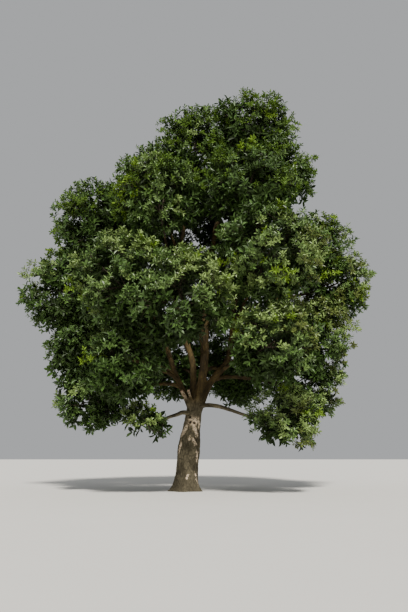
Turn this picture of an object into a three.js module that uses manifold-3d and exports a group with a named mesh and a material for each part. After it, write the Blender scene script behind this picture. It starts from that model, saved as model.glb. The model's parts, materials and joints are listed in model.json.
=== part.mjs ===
// A mature hybrid oak in full summer leaf: a stout leaning trunk with a root flare, four main limbs that
// rise from one fork, side boughs, and the masses of foliage that they carry.
// Millimetres, +Z up. The origin is in the flat cut under the trunk, at ground level. The front of the tree
// faces -Y, and +X is on the right as one looks at it from there.
import * as THREE from "three";
import { mergeVertices } from "three/addons/utils/BufferGeometryUtils.js";
import Module from "manifold-3d";

const wasm = await Module();
wasm.setup();

const METRE = 1000;
const UP = new THREE.Vector3(0, 0, 1);

// Pieces that meet are this far apart.
const CLEARANCE = 0.4;

// Trunk
const FORK_HEIGHT = 4.05 * METRE;
const SHOULDER_HEIGHT = 3.6 * METRE;
const TRUNK_RADIUS_LOW = 0.52 * METRE;
const TRUNK_RADIUS_HIGH = 0.36 * METRE;
const TRUNK_LEAN = 0.42 * METRE;
const LEAN_POWER = 1.6;
const FLARE_RADIUS = 0.25 * METRE;
const FLARE_HEIGHT = 0.3 * METRE;
const SWELLING = 0.08 * METRE;
const SWELLING_HEIGHT = 1.85 * METRE;
const SWELLING_SPREAD = 0.75 * METRE;
const ROOT_COUNT = 5;
const ROOT_DEPTH = 0.34;
const ROOT_TURN = 0.5;
const TRUNK_SIDES = 20;
const TRUNK_RINGS = 12;
const TRUNK_RING_POWER = 1.35;

// Limbs and boughs
const LIMB_SIDES = 7;
const LIMB_RINGS = 9;
const BOUGH_SIDES = 5;
const BOUGH_RINGS = 4;
const TIP_RADIUS = 0.06 * METRE;
const BOUGH_SHARE = 0.6;
const BOUGH_RADIUS_MOST = 0.11 * METRE;
const COLLAR = 0.25;
const COLLAR_LENGTH = 0.35 * METRE;
const LIMB_TAPER = 0.9;
const FOLLOW_PARENT = 0.45;
const ARCH = 0.12;
// A bough ends in its mass at this share of the way from the middle to the edge.
const ENTRY = 0.78;

// Foliage: a mass is a ball, flattened by this share, that ends where a neighbour's ball begins.
const FLATNESS = 0.9;
const SPACE_CLEARANCE = 12;
const LIMB_CLEARANCE = 25;
const STEM_SIDES = 4;
const STEM_RINGS = 2;
const STEM_REACH = 0.12;
const TWIG_DIRECTIONS = 6;
const FIRST_TWIG = 0.45;
const LAST_TWIG = 0.93;
const TWIG_REACH = 0.4;
const TWIG_RADIUS = 0.03 * METRE;
const TWIG_TIP_RADIUS = 0.022 * METRE;
const LEAF_DIRECTIONS = 22;
const LEAF_REACH = 0.985;
const LEAF_SHORTEST = 0.4 * METRE;
const LEAF_WIDTH = 0.82;
const LEAF_WIDTH_RANGE = 0.24;
const LEAF_NARROWEST = 0.6;
const LEAF_WIDEST = 0.6;
const LEAF_FOLD = 0.03;
const LEAF_LIFT = 0.25;
const LEAF_TWIST = 0.6;
const LEAF_SINK = 0.5;
// The leaves of a twig start this share of its length apart, from this near its tip.
const LEAF_STEP = 0.13;
const FIRST_LEAF = 0.04;
// Twigs stay on the outside of the crown: none grow where the way out is this short, or this far back
// towards the middle of the tree.
const SHORTEST_WAY_OUT = 0.42;
const MOST_INWARD = -0.5;
const GOLDEN_ANGLE = Math.PI * (3 - Math.sqrt(5));

const TREE_MIDDLE = new THREE.Vector3(0.9, 0, 8.5).multiplyScalar(METRE);

// The four main limbs, by the places they pass through on the way to the mass that each one ends in, in
// metres, and their radius at the fork.
const MAIN_LIMBS = [
  {
    name: "limb_centre",
    mass: "foliage_crown_top",
    radius: 0.24,
    through: [
      [0.4, 0, 3.3],
      [0.6, -0.04, 4.4],
      [0.84, 0, 6],
      [0.94, 0.05, 9],
      [1.5, 0.1, 13],
    ],
  },
  {
    name: "limb_centre_left",
    mass: "foliage_crown_top_left",
    radius: 0.17,
    through: [
      [0.34, 0.12, 3.3],
      [0.3, 0.2, 4.5],
      [0.26, 0.26, 6],
      [-0.3, 0.3, 7.8],
      [-0.57, 0.3, 10],
    ],
  },
  {
    name: "limb_left",
    mass: "foliage_shoulder_left",
    radius: 0.15,
    through: [
      [0.36, -0.06, 3.35],
      [-0.1, -0.16, 4.4],
      [-0.6, -0.2, 5.5],
      [-1.1, -0.12, 7],
      [-2.2, 0, 9.4],
    ],
  },
  {
    name: "limb_right",
    mass: "foliage_crown_top_right",
    radius: 0.18,
    through: [
      [0.46, -0.03, 3.4],
      [1.1, -0.1, 4.9],
      [1.9, -0.16, 5.9],
      [2.14, -0.2, 7],
      [2.5, -0.05, 9.6],
    ],
  },
];

// The masses of foliage: the middle and radius of each, in metres, and where its own bough leaves a limb, as
// a share of that limb's length, or of the trunk's height.
const MASSES = [
  { place: "crown_top", middle: [3.4, 0, 18.1], radius: 2.7 },
  { place: "crown_top_left", middle: [0.4, 0.2, 17.4], radius: 2.6 },
  { place: "crown_top_right", middle: [4.4, 0, 15.8], radius: 2.6 },
  { place: "shoulder_left", middle: [-4.5, 0, 13], radius: 2.7 },
  { place: "shoulder_high", middle: [-1.7, 0, 15.2], radius: 2.4, from: "limb_centre_left", at: 0.62 },
  { place: "side_left", middle: [-6, 0.2, 9.5], radius: 2.6, from: "limb_left", at: 0.44 },
  { place: "side_left_low", middle: [-4.9, 0.2, 6.5], radius: 2.2, from: "limb_left", at: 0.24 },
  { place: "left_bottom", middle: [-4.4, -1, 4.1], radius: 1.8, from: "limb_left", at: 0.17 },
  { place: "low_left", middle: [-1.7, -2.5, 3], radius: 1.25, from: "trunk", at: 0.82 },
  { place: "front_left_low", middle: [-2.6, -3.7, 5.3], radius: 1.9, from: "limb_left", at: 0.21 },
  { place: "front_left", middle: [-2.6, -4.2, 8.8], radius: 2.6, from: "limb_left", at: 0.34 },
  { place: "front_centre", middle: [-0.1, -5, 7.9], radius: 2.5, from: "limb_centre", at: 0.22 },
  { place: "front_right", middle: [3.6, -4.3, 10], radius: 2.7, from: "limb_right", at: 0.38 },
  { place: "front_right_low", middle: [3.6, -4.3, 6.1], radius: 2.1, from: "limb_right", at: 0.2 },
  { place: "front_high_left", middle: [-1.3, -3, 13.1], radius: 2.5, from: "limb_centre_left", at: 0.42 },
  { place: "front_high", middle: [2.9, -3, 13.7], radius: 2.6, from: "limb_centre", at: 0.46 },
  { place: "right_high", middle: [6.3, -0.5, 11.4], radius: 2.3, from: "limb_right", at: 0.55 },
  { place: "side_right", middle: [7.2, -0.2, 9.8], radius: 2.2, from: "limb_right", at: 0.45 },
  { place: "side_right_mid", middle: [6, -0.4, 7.2], radius: 2.4, from: "limb_right", at: 0.29 },
  { place: "side_right_low", middle: [5.8, 0.4, 4.9], radius: 2.1, from: "limb_right", at: 0.16 },
  { place: "right_bottom", middle: [4.3, -2, 3.05], radius: 1.9, from: "trunk", at: 0.9 },
  { place: "back_top", middle: [1.6, 2.6, 15.3], radius: 2.9, from: "limb_centre", at: 0.6 },
  { place: "back_right_high", middle: [4.6, 3.7, 12.2], radius: 2.8, from: "limb_right", at: 0.6 },
  { place: "back_left_high", middle: [-2.3, 3.4, 12.5], radius: 2.8, from: "limb_centre_left", at: 0.46 },
  { place: "back_centre", middle: [1.2, 3.4, 10.4], radius: 2.9, from: "limb_centre", at: 0.33 },
  { place: "back_right", middle: [5.1, 4.6, 8.1], radius: 2.7, from: "limb_right", at: 0.35 },
  { place: "back_left", middle: [-4.1, 4.2, 8.8], radius: 2.8, from: "limb_centre_left", at: 0.27 },
  { place: "back_low_left", middle: [-0.9, 3.2, 6.7], radius: 2.7, from: "limb_centre_left", at: 0.15 },
  { place: "back_low_right", middle: [2.8, 3.5, 6.3], radius: 2.6, from: "limb_centre", at: 0.15 },
];

const BARK = new THREE.MeshStandardMaterial({ color: 0x6b6153, roughness: 0.9, metalness: 0 });
const FOLIAGE = new THREE.MeshStandardMaterial({ color: 0x44561f, roughness: 0.6, metalness: 0 });

// A repeatable number from 0 to 1 for the given counts.
function chance(a, b, c) {
  const wave = Math.sin(a * 12.9898 + b * 78.233 + c * 37.719) * 43758.5453;
  return wave - Math.floor(wave);
}

function solidOf(geometry) {
  geometry.deleteAttribute("normal");
  geometry.deleteAttribute("uv");
  const merged = mergeVertices(geometry, 1e-4);
  return new wasm.Manifold(
    new wasm.Mesh({
      numProp: 3,
      vertProperties: new Float32Array(merged.attributes.position.array),
      triVerts: new Uint32Array(merged.index.array),
    }),
  );
}

// The largest connected body of a solid, without loose scraps.
function largestBody(solid) {
  const bodies = solid.decompose();
  return bodies.reduce((best, body) => (body.volume() > best.volume() ? body : best));
}

// Trunk: level rings on a leaning line, with root buttresses at the foot and a domed top under the limbs.
function trunkMiddle(height) {
  return new THREE.Vector3(TRUNK_LEAN * (height / FORK_HEIGHT) ** LEAN_POWER, 0, height);
}

function trunkRadius(height, angle) {
  const taper = THREE.MathUtils.lerp(TRUNK_RADIUS_LOW, TRUNK_RADIUS_HIGH, height / SHOULDER_HEIGHT);
  const swelling = SWELLING * Math.exp(-(((height - SWELLING_HEIGHT) / SWELLING_SPREAD) ** 2));
  const buttress = 1 + ROOT_DEPTH * Math.cos(ROOT_COUNT * (angle + ROOT_TURN));
  const flare = FLARE_RADIUS * Math.exp(-height / FLARE_HEIGHT) * buttress;
  const side = taper + swelling + flare;
  if (height <= SHOULDER_HEIGHT) return side;
  const rise = Math.min(1, (height - SHOULDER_HEIGHT) / (FORK_HEIGHT - SHOULDER_HEIGHT));
  return side * Math.sqrt(1 - rise * rise);
}

function trunkSolid(extra) {
  const geometry = new THREE.CylinderGeometry(0, 1, 1, TRUNK_SIDES, TRUNK_RINGS);
  const place = geometry.attributes.position;
  for (let i = 0; i < place.count; i++) {
    const height = (place.getY(i) + 0.5) ** TRUNK_RING_POWER * (FORK_HEIGHT + extra);
    const angle = Math.atan2(-place.getZ(i), place.getX(i));
    const reach = Math.hypot(place.getX(i), place.getZ(i)) > 1e-6 ? trunkRadius(height, angle) + extra : 0;
    const middle = trunkMiddle(height);
    place.setXYZ(i, middle.x + reach * Math.cos(angle), middle.y + reach * Math.sin(angle), height);
  }
  return solidOf(geometry);
}

// A round tapering solid along a curve.
function taperedSolid(curve, radiusAt, sides, rings) {
  const geometry = new THREE.CylinderGeometry(1, 1, 1, sides, rings);
  const frames = curve.computeFrenetFrames(rings);
  const place = geometry.attributes.position;
  for (let i = 0; i < place.count; i++) {
    const share = place.getY(i) + 0.5;
    const ring = Math.round(share * rings);
    const out = Math.hypot(place.getX(i), place.getZ(i));
    const angle = Math.atan2(-place.getZ(i), place.getX(i));
    const point = curve.getPointAt(ring / rings);
    if (out > 1e-6) {
      const reach = radiusAt(ring / rings);
      point.addScaledVector(frames.normals[ring], reach * Math.cos(angle));
      point.addScaledVector(frames.binormals[ring], reach * Math.sin(angle));
    }
    place.setXYZ(i, point.x, point.y, point.z);
  }
  return solidOf(geometry);
}

// Foliage spaces. The edge towards a neighbour is a plane, so a space has no hollows: what has its corners
// inside is inside.
const masses = new Map();
for (const [index, row] of MASSES.entries()) {
  masses.set("foliage_" + row.place, {
    ...row,
    index,
    middle: new THREE.Vector3(...row.middle).multiplyScalar(METRE),
    radius: row.radius * METRE,
  });
}

function rounded(vector) {
  return new THREE.Vector3(vector.x, vector.y, vector.z / FLATNESS);
}

for (const mass of masses.values()) {
  mass.walls = [];
  const middle = rounded(mass.middle);
  for (const other of masses.values()) {
    if (other === mass) continue;
    const toOther = rounded(other.middle).sub(middle);
    const gap = toOther.length();
    const share = (gap * gap + mass.radius ** 2 - other.radius ** 2) / (2 * gap);
    mass.walls.push({ toOther: toOther.normalize(), share });
  }
}

// How far the space of a mass reaches from its middle in a direction.
function wayOut(mass, direction) {
  const way = rounded(direction);
  let reach = mass.radius / way.length();
  for (const wall of mass.walls) {
    const towards = way.dot(wall.toOther);
    if (towards > 0) reach = Math.min(reach, (wall.share - SPACE_CLEARANCE) / towards);
  }
  return reach;
}

function isInSpace(mass, point) {
  const away = point.clone().sub(mass.middle);
  const distance = away.length();
  return distance < 1 || distance <= wayOut(mass, away.normalize());
}

// Limbs and boughs
function pointIn(metres) {
  return new THREE.Vector3(...metres).multiplyScalar(METRE);
}

function entryOf(mass, origin) {
  const back = origin.clone().sub(mass.middle).normalize();
  return mass.middle.clone().addScaledVector(back, ENTRY * wayOut(mass, back));
}

const limbs = new Map();

function addLimb(name, curve, baseRadius, sides, rings) {
  const length = curve.getLength();
  const radiusAt = (share) => {
    const collar = 1 + COLLAR * Math.exp((-share * length) / COLLAR_LENGTH);
    return TIP_RADIUS + (baseRadius * collar - TIP_RADIUS) * (1 - share) ** LIMB_TAPER;
  };
  limbs.set(name, { curve, radiusAt, sides, rings });
}

for (const row of MAIN_LIMBS) {
  const points = row.through.map(pointIn);
  points.push(entryOf(masses.get(row.mass), points.at(-1)));
  const curve = new THREE.CatmullRomCurve3(points, false, "catmullrom", 0.5);
  addLimb(row.name, curve, row.radius * METRE, LIMB_SIDES, LIMB_RINGS);
  masses.get(row.mass).limb = row.name;
}

// A side bough leaves its limb partly along it, and comes round and up to its mass.
for (const mass of masses.values()) {
  if (!mass.from) continue;
  const onTrunk = mass.from === "trunk";
  const height = mass.at * FORK_HEIGHT;
  const parent = limbs.get(mass.from);
  const start = onTrunk ? trunkMiddle(height) : parent.curve.getPointAt(mass.at);
  const along = onTrunk ? UP : parent.curve.getTangentAt(mass.at);
  const parentRadius = onTrunk ? BOUGH_RADIUS_MOST / BOUGH_SHARE : parent.radiusAt(mass.at);
  const end = entryOf(mass, start);
  const length = start.distanceTo(end);
  const straight = end.clone().sub(start).normalize();
  const leaving = straight.clone().lerp(along, FOLLOW_PARENT).normalize();
  const arriving = straight.clone().addScaledVector(UP, -ARCH).normalize();
  const curve = new THREE.CubicBezierCurve3(
    start,
    start.clone().addScaledVector(leaving, length / 3),
    end.clone().addScaledVector(arriving, -length / 3),
    end,
  );
  mass.limb = "bough_" + mass.place;
  const baseRadius = Math.min(parentRadius * BOUGH_SHARE, BOUGH_RADIUS_MOST);
  addLimb(mass.limb, curve, baseRadius, BOUGH_SIDES, BOUGH_RINGS);
}

function limbSolid(limb, extra) {
  return taperedSolid(limb.curve, (share) => limb.radiusAt(share) + extra, limb.sides, limb.rings);
}

// Each limb is cut clear of the trunk and of the limbs made before it, so it starts at their bark.
const trunk = trunkSolid(0);
const grownTrunk = trunkSolid(CLEARANCE);
const limbSolids = new Map();
const grownLimbs = [];
for (const [name, limb] of limbs) {
  let solid = limbSolid(limb, 0).subtract(grownTrunk);
  for (const grown of grownLimbs) solid = solid.subtract(grown);
  limbSolids.set(name, largestBody(solid));
  grownLimbs.push(limbSolid(limb, CLEARANCE));
}

// Short straight pieces of every limb, for keeping leaves off the bark.
const limbPieces = [];
for (const limb of limbs.values()) {
  for (let ring = 0; ring < limb.rings; ring++) {
    const from = ring / limb.rings;
    const to = (ring + 1) / limb.rings;
    limbPieces.push({
      line: new THREE.Line3(limb.curve.getPointAt(from), limb.curve.getPointAt(to)),
      radius: limb.radiusAt(from),
    });
  }
}

function lineDistance(first, second) {
  const u = first.end.clone().sub(first.start);
  const v = second.end.clone().sub(second.start);
  const w = first.start.clone().sub(second.start);
  const a = u.dot(u);
  const b = u.dot(v);
  const c = v.dot(v);
  const spread = a * c - b * b;
  let s = spread > 1e-9 ? THREE.MathUtils.clamp((b * v.dot(w) - c * u.dot(w)) / spread, 0, 1) : 0;
  const t = THREE.MathUtils.clamp((b * s + v.dot(w)) / c, 0, 1);
  s = THREE.MathUtils.clamp((b * t - u.dot(w)) / a, 0, 1);
  return first.at(s, new THREE.Vector3()).distanceTo(second.at(t, new THREE.Vector3()));
}

function isClearOfLimbs(line, halfWidth) {
  return limbPieces.every((piece) => {
    const near = piece.radius + halfWidth + LIMB_CLEARANCE;
    return lineDistance(line, piece.line) > near;
  });
}

// Directions spread evenly over a ball, without those that point back into the tree or at a close
// neighbour.
function outwardDirections(mass, count) {
  const outward = mass.middle.clone().sub(TREE_MIDDLE).normalize();
  const kept = [];
  for (let i = 0; i < count; i++) {
    const height = 1 - (2 * i + 1) / count;
    const turn = GOLDEN_ANGLE * i + 2 * Math.PI * chance(mass.index, count, 1);
    const flat = Math.sqrt(1 - height * height);
    const direction = new THREE.Vector3(flat * Math.cos(turn), flat * Math.sin(turn), height);
    const isOpen = wayOut(mass, direction) > SHORTEST_WAY_OUT * mass.radius;
    if (isOpen && direction.dot(outward) > MOST_INWARD) kept.push(direction);
  }
  return kept;
}

// The two sides of a leaf, which hang a little below the ridge from its root to its tip.
function leafSides(leaf) {
  const along = leaf.tip.clone().sub(leaf.root);
  const across = leaf.face.clone().cross(along).normalize();
  const widest = leaf.root.clone().addScaledVector(along, LEAF_WIDEST);
  widest.addScaledVector(leaf.face, -LEAF_FOLD * along.length());
  return [-0.5, 0.5].map((side) => widest.clone().addScaledVector(across, side * leaf.width));
}

// A leaf is a folded blade of four faces. It stands for a whole spray.
function leafSolid(leaf) {
  const geometry = new THREE.TetrahedronGeometry(1);
  const [left, right] = leafSides(leaf);
  const place = geometry.attributes.position;
  for (let i = 0; i < place.count; i++) {
    const isRidge = place.getZ(i) > 0;
    const isFirst = place.getX(i) < 0;
    const corner = isRidge ? (isFirst ? leaf.root : leaf.tip) : isFirst ? right : left;
    place.setXYZ(i, corner.x, corner.y, corner.z);
  }
  return solidOf(geometry);
}

function leafFits(mass, leaf) {
  const inside = [leaf.tip, ...leafSides(leaf)].every((corner) => isInSpace(mass, corner));
  return inside && isClearOfLimbs(new THREE.Line3(leaf.root, leaf.tip), leaf.width / 2);
}

// The leaf that grows from a twig to the edge of the space in a direction. One that doesn't fit is tried
// narrower, and then left out.
function leafTowards(mass, twig, direction, draw) {
  const tip = mass.middle.clone().addScaledVector(direction, LEAF_REACH * wayOut(mass, direction));
  const share = 1 - FIRST_LEAF - LEAF_STEP * twig.leaves.length;
  const start = twig.curve.getPointAt(share);
  const away = tip.clone().sub(start).normalize();
  const root = start.clone().addScaledVector(away, -LEAF_SINK * TWIG_TIP_RADIUS);
  const length = root.distanceTo(tip);
  const face = direction.clone().addScaledVector(UP, LEAF_LIFT);
  face.addScaledVector(away, -face.dot(away)).normalize();
  face.applyAxisAngle(away, LEAF_TWIST * draw(2));
  const width = length * (LEAF_WIDTH + LEAF_WIDTH_RANGE * draw(3));
  const leaf = { root, tip, face, width };
  if (length < LEAF_SHORTEST) return null;
  if (!leafFits(mass, leaf)) leaf.width *= LEAF_NARROWEST;
  return leafFits(mass, leaf) ? leaf : null;
}

// One mass: a stem from its bough's tip, twigs from the stem, and leaves from the twigs to the edge of the
// space. What would leave the space or touch a limb is left out.
function foliageSolid(mass) {
  const limb = limbs.get(mass.limb);
  const heading = limb.curve.getTangentAt(1);
  const base = limb.curve.getPointAt(1).addScaledVector(heading, CLEARANCE);
  const heart = mass.middle.clone().addScaledVector(heading, STEM_REACH * mass.radius);
  const stem = new THREE.QuadraticBezierCurve3(
    base,
    base.clone().addScaledVector(heading, base.distanceTo(heart) / 2),
    heart,
  );
  let solid = taperedSolid(stem, () => TIP_RADIUS, STEM_SIDES, STEM_RINGS);

  const twigs = [];
  const twigDirections = outwardDirections(mass, TWIG_DIRECTIONS);
  for (const [index, direction] of twigDirections.entries()) {
    const share = THREE.MathUtils.lerp(FIRST_TWIG, LAST_TWIG, index / twigDirections.length);
    const start = stem.getPointAt(share);
    const end = mass.middle.clone().addScaledVector(direction, TWIG_REACH * wayOut(mass, direction));
    if (!isClearOfLimbs(new THREE.Line3(start, end), TWIG_RADIUS)) continue;
    twigs.push({ direction, curve: new THREE.LineCurve3(start, end), leaves: [] });
  }
  for (const [index, direction] of outwardDirections(mass, LEAF_DIRECTIONS).entries()) {
    const draw = (use) => chance(mass.index, index, use) - 0.5;
    const twig = twigs.reduce((best, other) =>
      other.direction.dot(direction) > best.direction.dot(direction) ? other : best,
    );
    const leaf = leafTowards(mass, twig, direction, draw);
    if (leaf) twig.leaves.push(leaf);
  }

  const twigRadius = (share) => THREE.MathUtils.lerp(TWIG_RADIUS, TWIG_TIP_RADIUS, share);
  for (const twig of twigs) {
    if (twig.leaves.length === 0) continue;
    solid = solid.add(taperedSolid(twig.curve, twigRadius, 3, 1));
    for (const leaf of twig.leaves) solid = solid.add(leafSolid(leaf));
  }
  return largestBody(solid);
}

// The scene graph
function meshOf(name, solid, origin, material) {
  const made = solid.getMesh();
  const geometry = new THREE.BufferGeometry();
  geometry.setAttribute("position", new THREE.BufferAttribute(new Float32Array(made.vertProperties), 3));
  geometry.setIndex(new THREE.BufferAttribute(new Uint32Array(made.triVerts), 1));
  geometry.translate(-origin.x, -origin.y, -origin.z);
  geometry.computeVertexNormals();
  const mesh = new THREE.Mesh(geometry, material);
  mesh.name = name;
  mesh.position.copy(origin);
  return mesh;
}

const tree = new THREE.Group();
tree.name = "hybrid_oak_tree";

const wood = new THREE.Group();
wood.add(meshOf("trunk", trunk, new THREE.Vector3(), BARK));
for (const [name, solid] of limbSolids) {
  wood.add(meshOf(name, solid, limbs.get(name).curve.getPointAt(0), BARK));
}
tree.add(wood);

const foliage = new THREE.Group();
for (const [name, mass] of masses) foliage.add(meshOf(name, foliageSolid(mass), mass.middle, FOLIAGE));
tree.add(foliage);

export default tree;
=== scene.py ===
"""A mature hybrid oak in full summer leaf, dressed over its solid model.

The solid model gives the trunk, the four main limbs, the side boughs and the space of each mass of foliage.
Here the same rule of growth is written again and carried on, from the limbs to finer twigs and to leaves.
Lengths are in metres, +Z is up, and the front of the tree faces -Y.
"""

import json
import math

import bmesh
import bpy
import numpy as np
from bpy.props import FloatProperty, FloatVectorProperty, IntProperty, PointerProperty
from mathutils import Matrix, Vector, noise
from mathutils.kdtree import KDTree

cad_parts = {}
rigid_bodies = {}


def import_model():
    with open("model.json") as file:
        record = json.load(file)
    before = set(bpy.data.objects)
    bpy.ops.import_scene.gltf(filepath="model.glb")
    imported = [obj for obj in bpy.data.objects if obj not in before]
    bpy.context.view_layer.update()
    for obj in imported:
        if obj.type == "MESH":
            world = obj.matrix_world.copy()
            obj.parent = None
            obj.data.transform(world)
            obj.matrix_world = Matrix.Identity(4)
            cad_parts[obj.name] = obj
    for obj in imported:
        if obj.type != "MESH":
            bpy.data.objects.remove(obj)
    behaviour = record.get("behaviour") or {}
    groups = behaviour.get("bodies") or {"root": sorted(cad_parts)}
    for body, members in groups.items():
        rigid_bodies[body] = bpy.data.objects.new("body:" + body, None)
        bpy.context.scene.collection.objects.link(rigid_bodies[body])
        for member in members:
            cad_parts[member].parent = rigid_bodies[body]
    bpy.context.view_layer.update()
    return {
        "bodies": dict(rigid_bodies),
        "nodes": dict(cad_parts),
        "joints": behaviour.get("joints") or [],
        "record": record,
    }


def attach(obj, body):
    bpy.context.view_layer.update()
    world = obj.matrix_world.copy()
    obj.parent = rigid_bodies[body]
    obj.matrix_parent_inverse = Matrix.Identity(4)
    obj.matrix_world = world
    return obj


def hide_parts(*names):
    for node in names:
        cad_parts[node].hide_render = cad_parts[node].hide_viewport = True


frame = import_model()

bl_info = {
    "name": "Hybrid Oak",
    "version": (1, 0, 0),
    "blender": (4, 5, 0),
    "location": "3D View > Sidebar > Oak",
    "description": "Bark, boughs, twigs and leaves for a mature hybrid oak",
    "category": "Object",
}

BODY = "root"
UP = np.array([0.0, 0.0, 1.0])
ALONG_X = np.array([1.0, 0.0, 0.0])
STEEP = 0.9
CURVE_STEPS = 40
HEADING_STEP = 2e-3
SHORTEST = 1e-9
NEARLY_PARALLEL = 1e-12

# Trunk, as in the solid model
FORK_HEIGHT = 4.05
SHOULDER_HEIGHT = 3.6
TRUNK_RADIUS_LOW = 0.52
TRUNK_RADIUS_HIGH = 0.36
TRUNK_LEAN = 0.42
LEAN_POWER = 1.6
FLARE_RADIUS = 0.25
FLARE_HEIGHT = 0.3
SWELLING = 0.08
SWELLING_HEIGHT = 1.85
SWELLING_SPREAD = 0.75
ROOT_COUNT = 5
ROOT_DEPTH = 0.34
ROOT_TURN = 0.5

# Limbs and boughs, as in the solid model
LIMB_RINGS = 9
BOUGH_RINGS = 4
TIP_RADIUS = 0.06
BOUGH_SHARE = 0.6
BOUGH_RADIUS_MOST = 0.11
COLLAR = 0.25
COLLAR_LENGTH = 0.35
LIMB_TAPER = 0.9
FOLLOW_PARENT = 0.45
ARCH = 0.12
ENTRY = 0.78

# Foliage, as in the solid model
FLATNESS = 0.9
SPACE_CLEARANCE = 0.012
LIMB_CLEARANCE = 0.025
STEM_REACH = 0.12
TWIG_DIRECTIONS = 6
FIRST_TWIG = 0.45
LAST_TWIG = 0.93
TWIG_REACH = 0.4
TWIG_RADIUS = 0.03
TWIG_TIP_RADIUS = 0.022
SPRAY_DIRECTIONS = 22
SPRAY_REACH = 0.985
SPRAY_SHORTEST = 0.4
SPRAY_WIDTH = 0.82
SPRAY_WIDTH_RANGE = 0.24
SPRAY_NARROWEST = 0.6
SPRAY_WIDEST = 0.6
SPRAY_FOLD = 0.03
SPRAY_LIFT = 0.25
SPRAY_TWIST = 0.6
SPRAY_SINK = 0.5
SPRAY_STEP = 0.13
FIRST_SPRAY = 0.04
SHORTEST_WAY_OUT = 0.42
MOST_INWARD = -0.5
GOLDEN_ANGLE = math.pi * (3 - math.sqrt(5))
TREE_MIDDLE = np.array([0.9, 0.0, 8.5])

# The four main limbs: the mass that each ends in, its radius at the fork, and the places on its way.
MAIN_LIMBS = {
    "limb_centre": (
        "crown_top",
        0.24,
        [(0.4, 0, 3.3), (0.6, -0.04, 4.4), (0.84, 0, 6), (0.94, 0.05, 9), (1.5, 0.1, 13)],
    ),
    "limb_centre_left": (
        "crown_top_left",
        0.17,
        [(0.34, 0.12, 3.3), (0.3, 0.2, 4.5), (0.26, 0.26, 6), (-0.3, 0.3, 7.8), (-0.57, 0.3, 10)],
    ),
    "limb_left": (
        "shoulder_left",
        0.15,
        [(0.36, -0.06, 3.35), (-0.1, -0.16, 4.4), (-0.6, -0.2, 5.5), (-1.1, -0.12, 7), (-2.2, 0, 9.4)],
    ),
    "limb_right": (
        "crown_top_right",
        0.18,
        [(0.46, -0.03, 3.4), (1.1, -0.1, 4.9), (1.9, -0.16, 5.9), (2.14, -0.2, 7), (2.5, -0.05, 9.6)],
    ),
}

# The masses of foliage: middle, radius, the limb or trunk that its own bough leaves, and where along it.
MASSES = {
    "crown_top": ((3.4, 0, 18.1), 2.7, None, 0),
    "crown_top_left": ((0.4, 0.2, 17.4), 2.6, None, 0),
    "crown_top_right": ((4.4, 0, 15.8), 2.6, None, 0),
    "shoulder_left": ((-4.5, 0, 13), 2.7, None, 0),
    "shoulder_high": ((-1.7, 0, 15.2), 2.4, "limb_centre_left", 0.62),
    "side_left": ((-6, 0.2, 9.5), 2.6, "limb_left", 0.44),
    "side_left_low": ((-4.9, 0.2, 6.5), 2.2, "limb_left", 0.24),
    "left_bottom": ((-4.4, -1, 4.1), 1.8, "limb_left", 0.17),
    "low_left": ((-1.7, -2.5, 3), 1.25, "trunk", 0.82),
    "front_left_low": ((-2.6, -3.7, 5.3), 1.9, "limb_left", 0.21),
    "front_left": ((-2.6, -4.2, 8.8), 2.6, "limb_left", 0.34),
    "front_centre": ((-0.1, -5, 7.9), 2.5, "limb_centre", 0.22),
    "front_right": ((3.6, -4.3, 10), 2.7, "limb_right", 0.38),
    "front_right_low": ((3.6, -4.3, 6.1), 2.1, "limb_right", 0.2),
    "front_high_left": ((-1.3, -3, 13.1), 2.5, "limb_centre_left", 0.42),
    "front_high": ((2.9, -3, 13.7), 2.6, "limb_centre", 0.46),
    "right_high": ((6.3, -0.5, 11.4), 2.3, "limb_right", 0.55),
    "side_right": ((7.2, -0.2, 9.8), 2.2, "limb_right", 0.45),
    "side_right_mid": ((6, -0.4, 7.2), 2.4, "limb_right", 0.29),
    "side_right_low": ((5.8, 0.4, 4.9), 2.1, "limb_right", 0.16),
    "right_bottom": ((4.3, -2, 3.05), 1.9, "trunk", 0.9),
    "back_top": ((1.6, 2.6, 15.3), 2.9, "limb_centre", 0.6),
    "back_right_high": ((4.6, 3.7, 12.2), 2.8, "limb_right", 0.6),
    "back_left_high": ((-2.3, 3.4, 12.5), 2.8, "limb_centre_left", 0.46),
    "back_centre": ((1.2, 3.4, 10.4), 2.9, "limb_centre", 0.33),
    "back_right": ((5.1, 4.6, 8.1), 2.7, "limb_right", 0.35),
    "back_left": ((-4.1, 4.2, 8.8), 2.8, "limb_centre_left", 0.27),
    "back_low_left": ((-0.9, 3.2, 6.7), 2.7, "limb_centre_left", 0.15),
    "back_low_right": ((2.8, 3.5, 6.3), 2.6, "limb_centre", 0.15),
}

# The two lowest clumps hang on a slope, down to the right: how steep it is, and how far their sprays reach
# below and above it.
SLOPING = {"low_left": (0.5, 0.45, 0.8), "right_bottom": (0.5, 1.0, 9.0)}

# Finer growth inside each mass: how many fine sprays are tried for the square of its radius, and how many
# more in the gaps between larger sprays and along the creases between masses.
FINE_DIRECTIONS = 20
GAP_DIRECTIONS = 16
GAP_CLOSENESS = 0.88
CREASE_CLOSENESS = 0.12
WALL_OVERLAP = 0.4
DENSER = {"back_low_left": 1.6, "back_low_right": 1.6, "shoulder_left": 1.25, "side_right": 1.2}
FINE_MOST_INWARD = -0.9
FINE_SHORTEST_WAY_OUT = 0.25
FINE_REACH_LEAST = 0.58
FINE_REACH_MOST = 0.99
FINE_ROOT_FIRST = 0.12
FINE_ROOT_LAST = 0.5
FINE_WIDTH = 0.85
FINE_SHORTEST = 0.3
FINE_HALF_WIDTH = 0.1
SPRAY_ARCH = 0.05
SPRAY_STEPS = 12
SEED = 7

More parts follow.
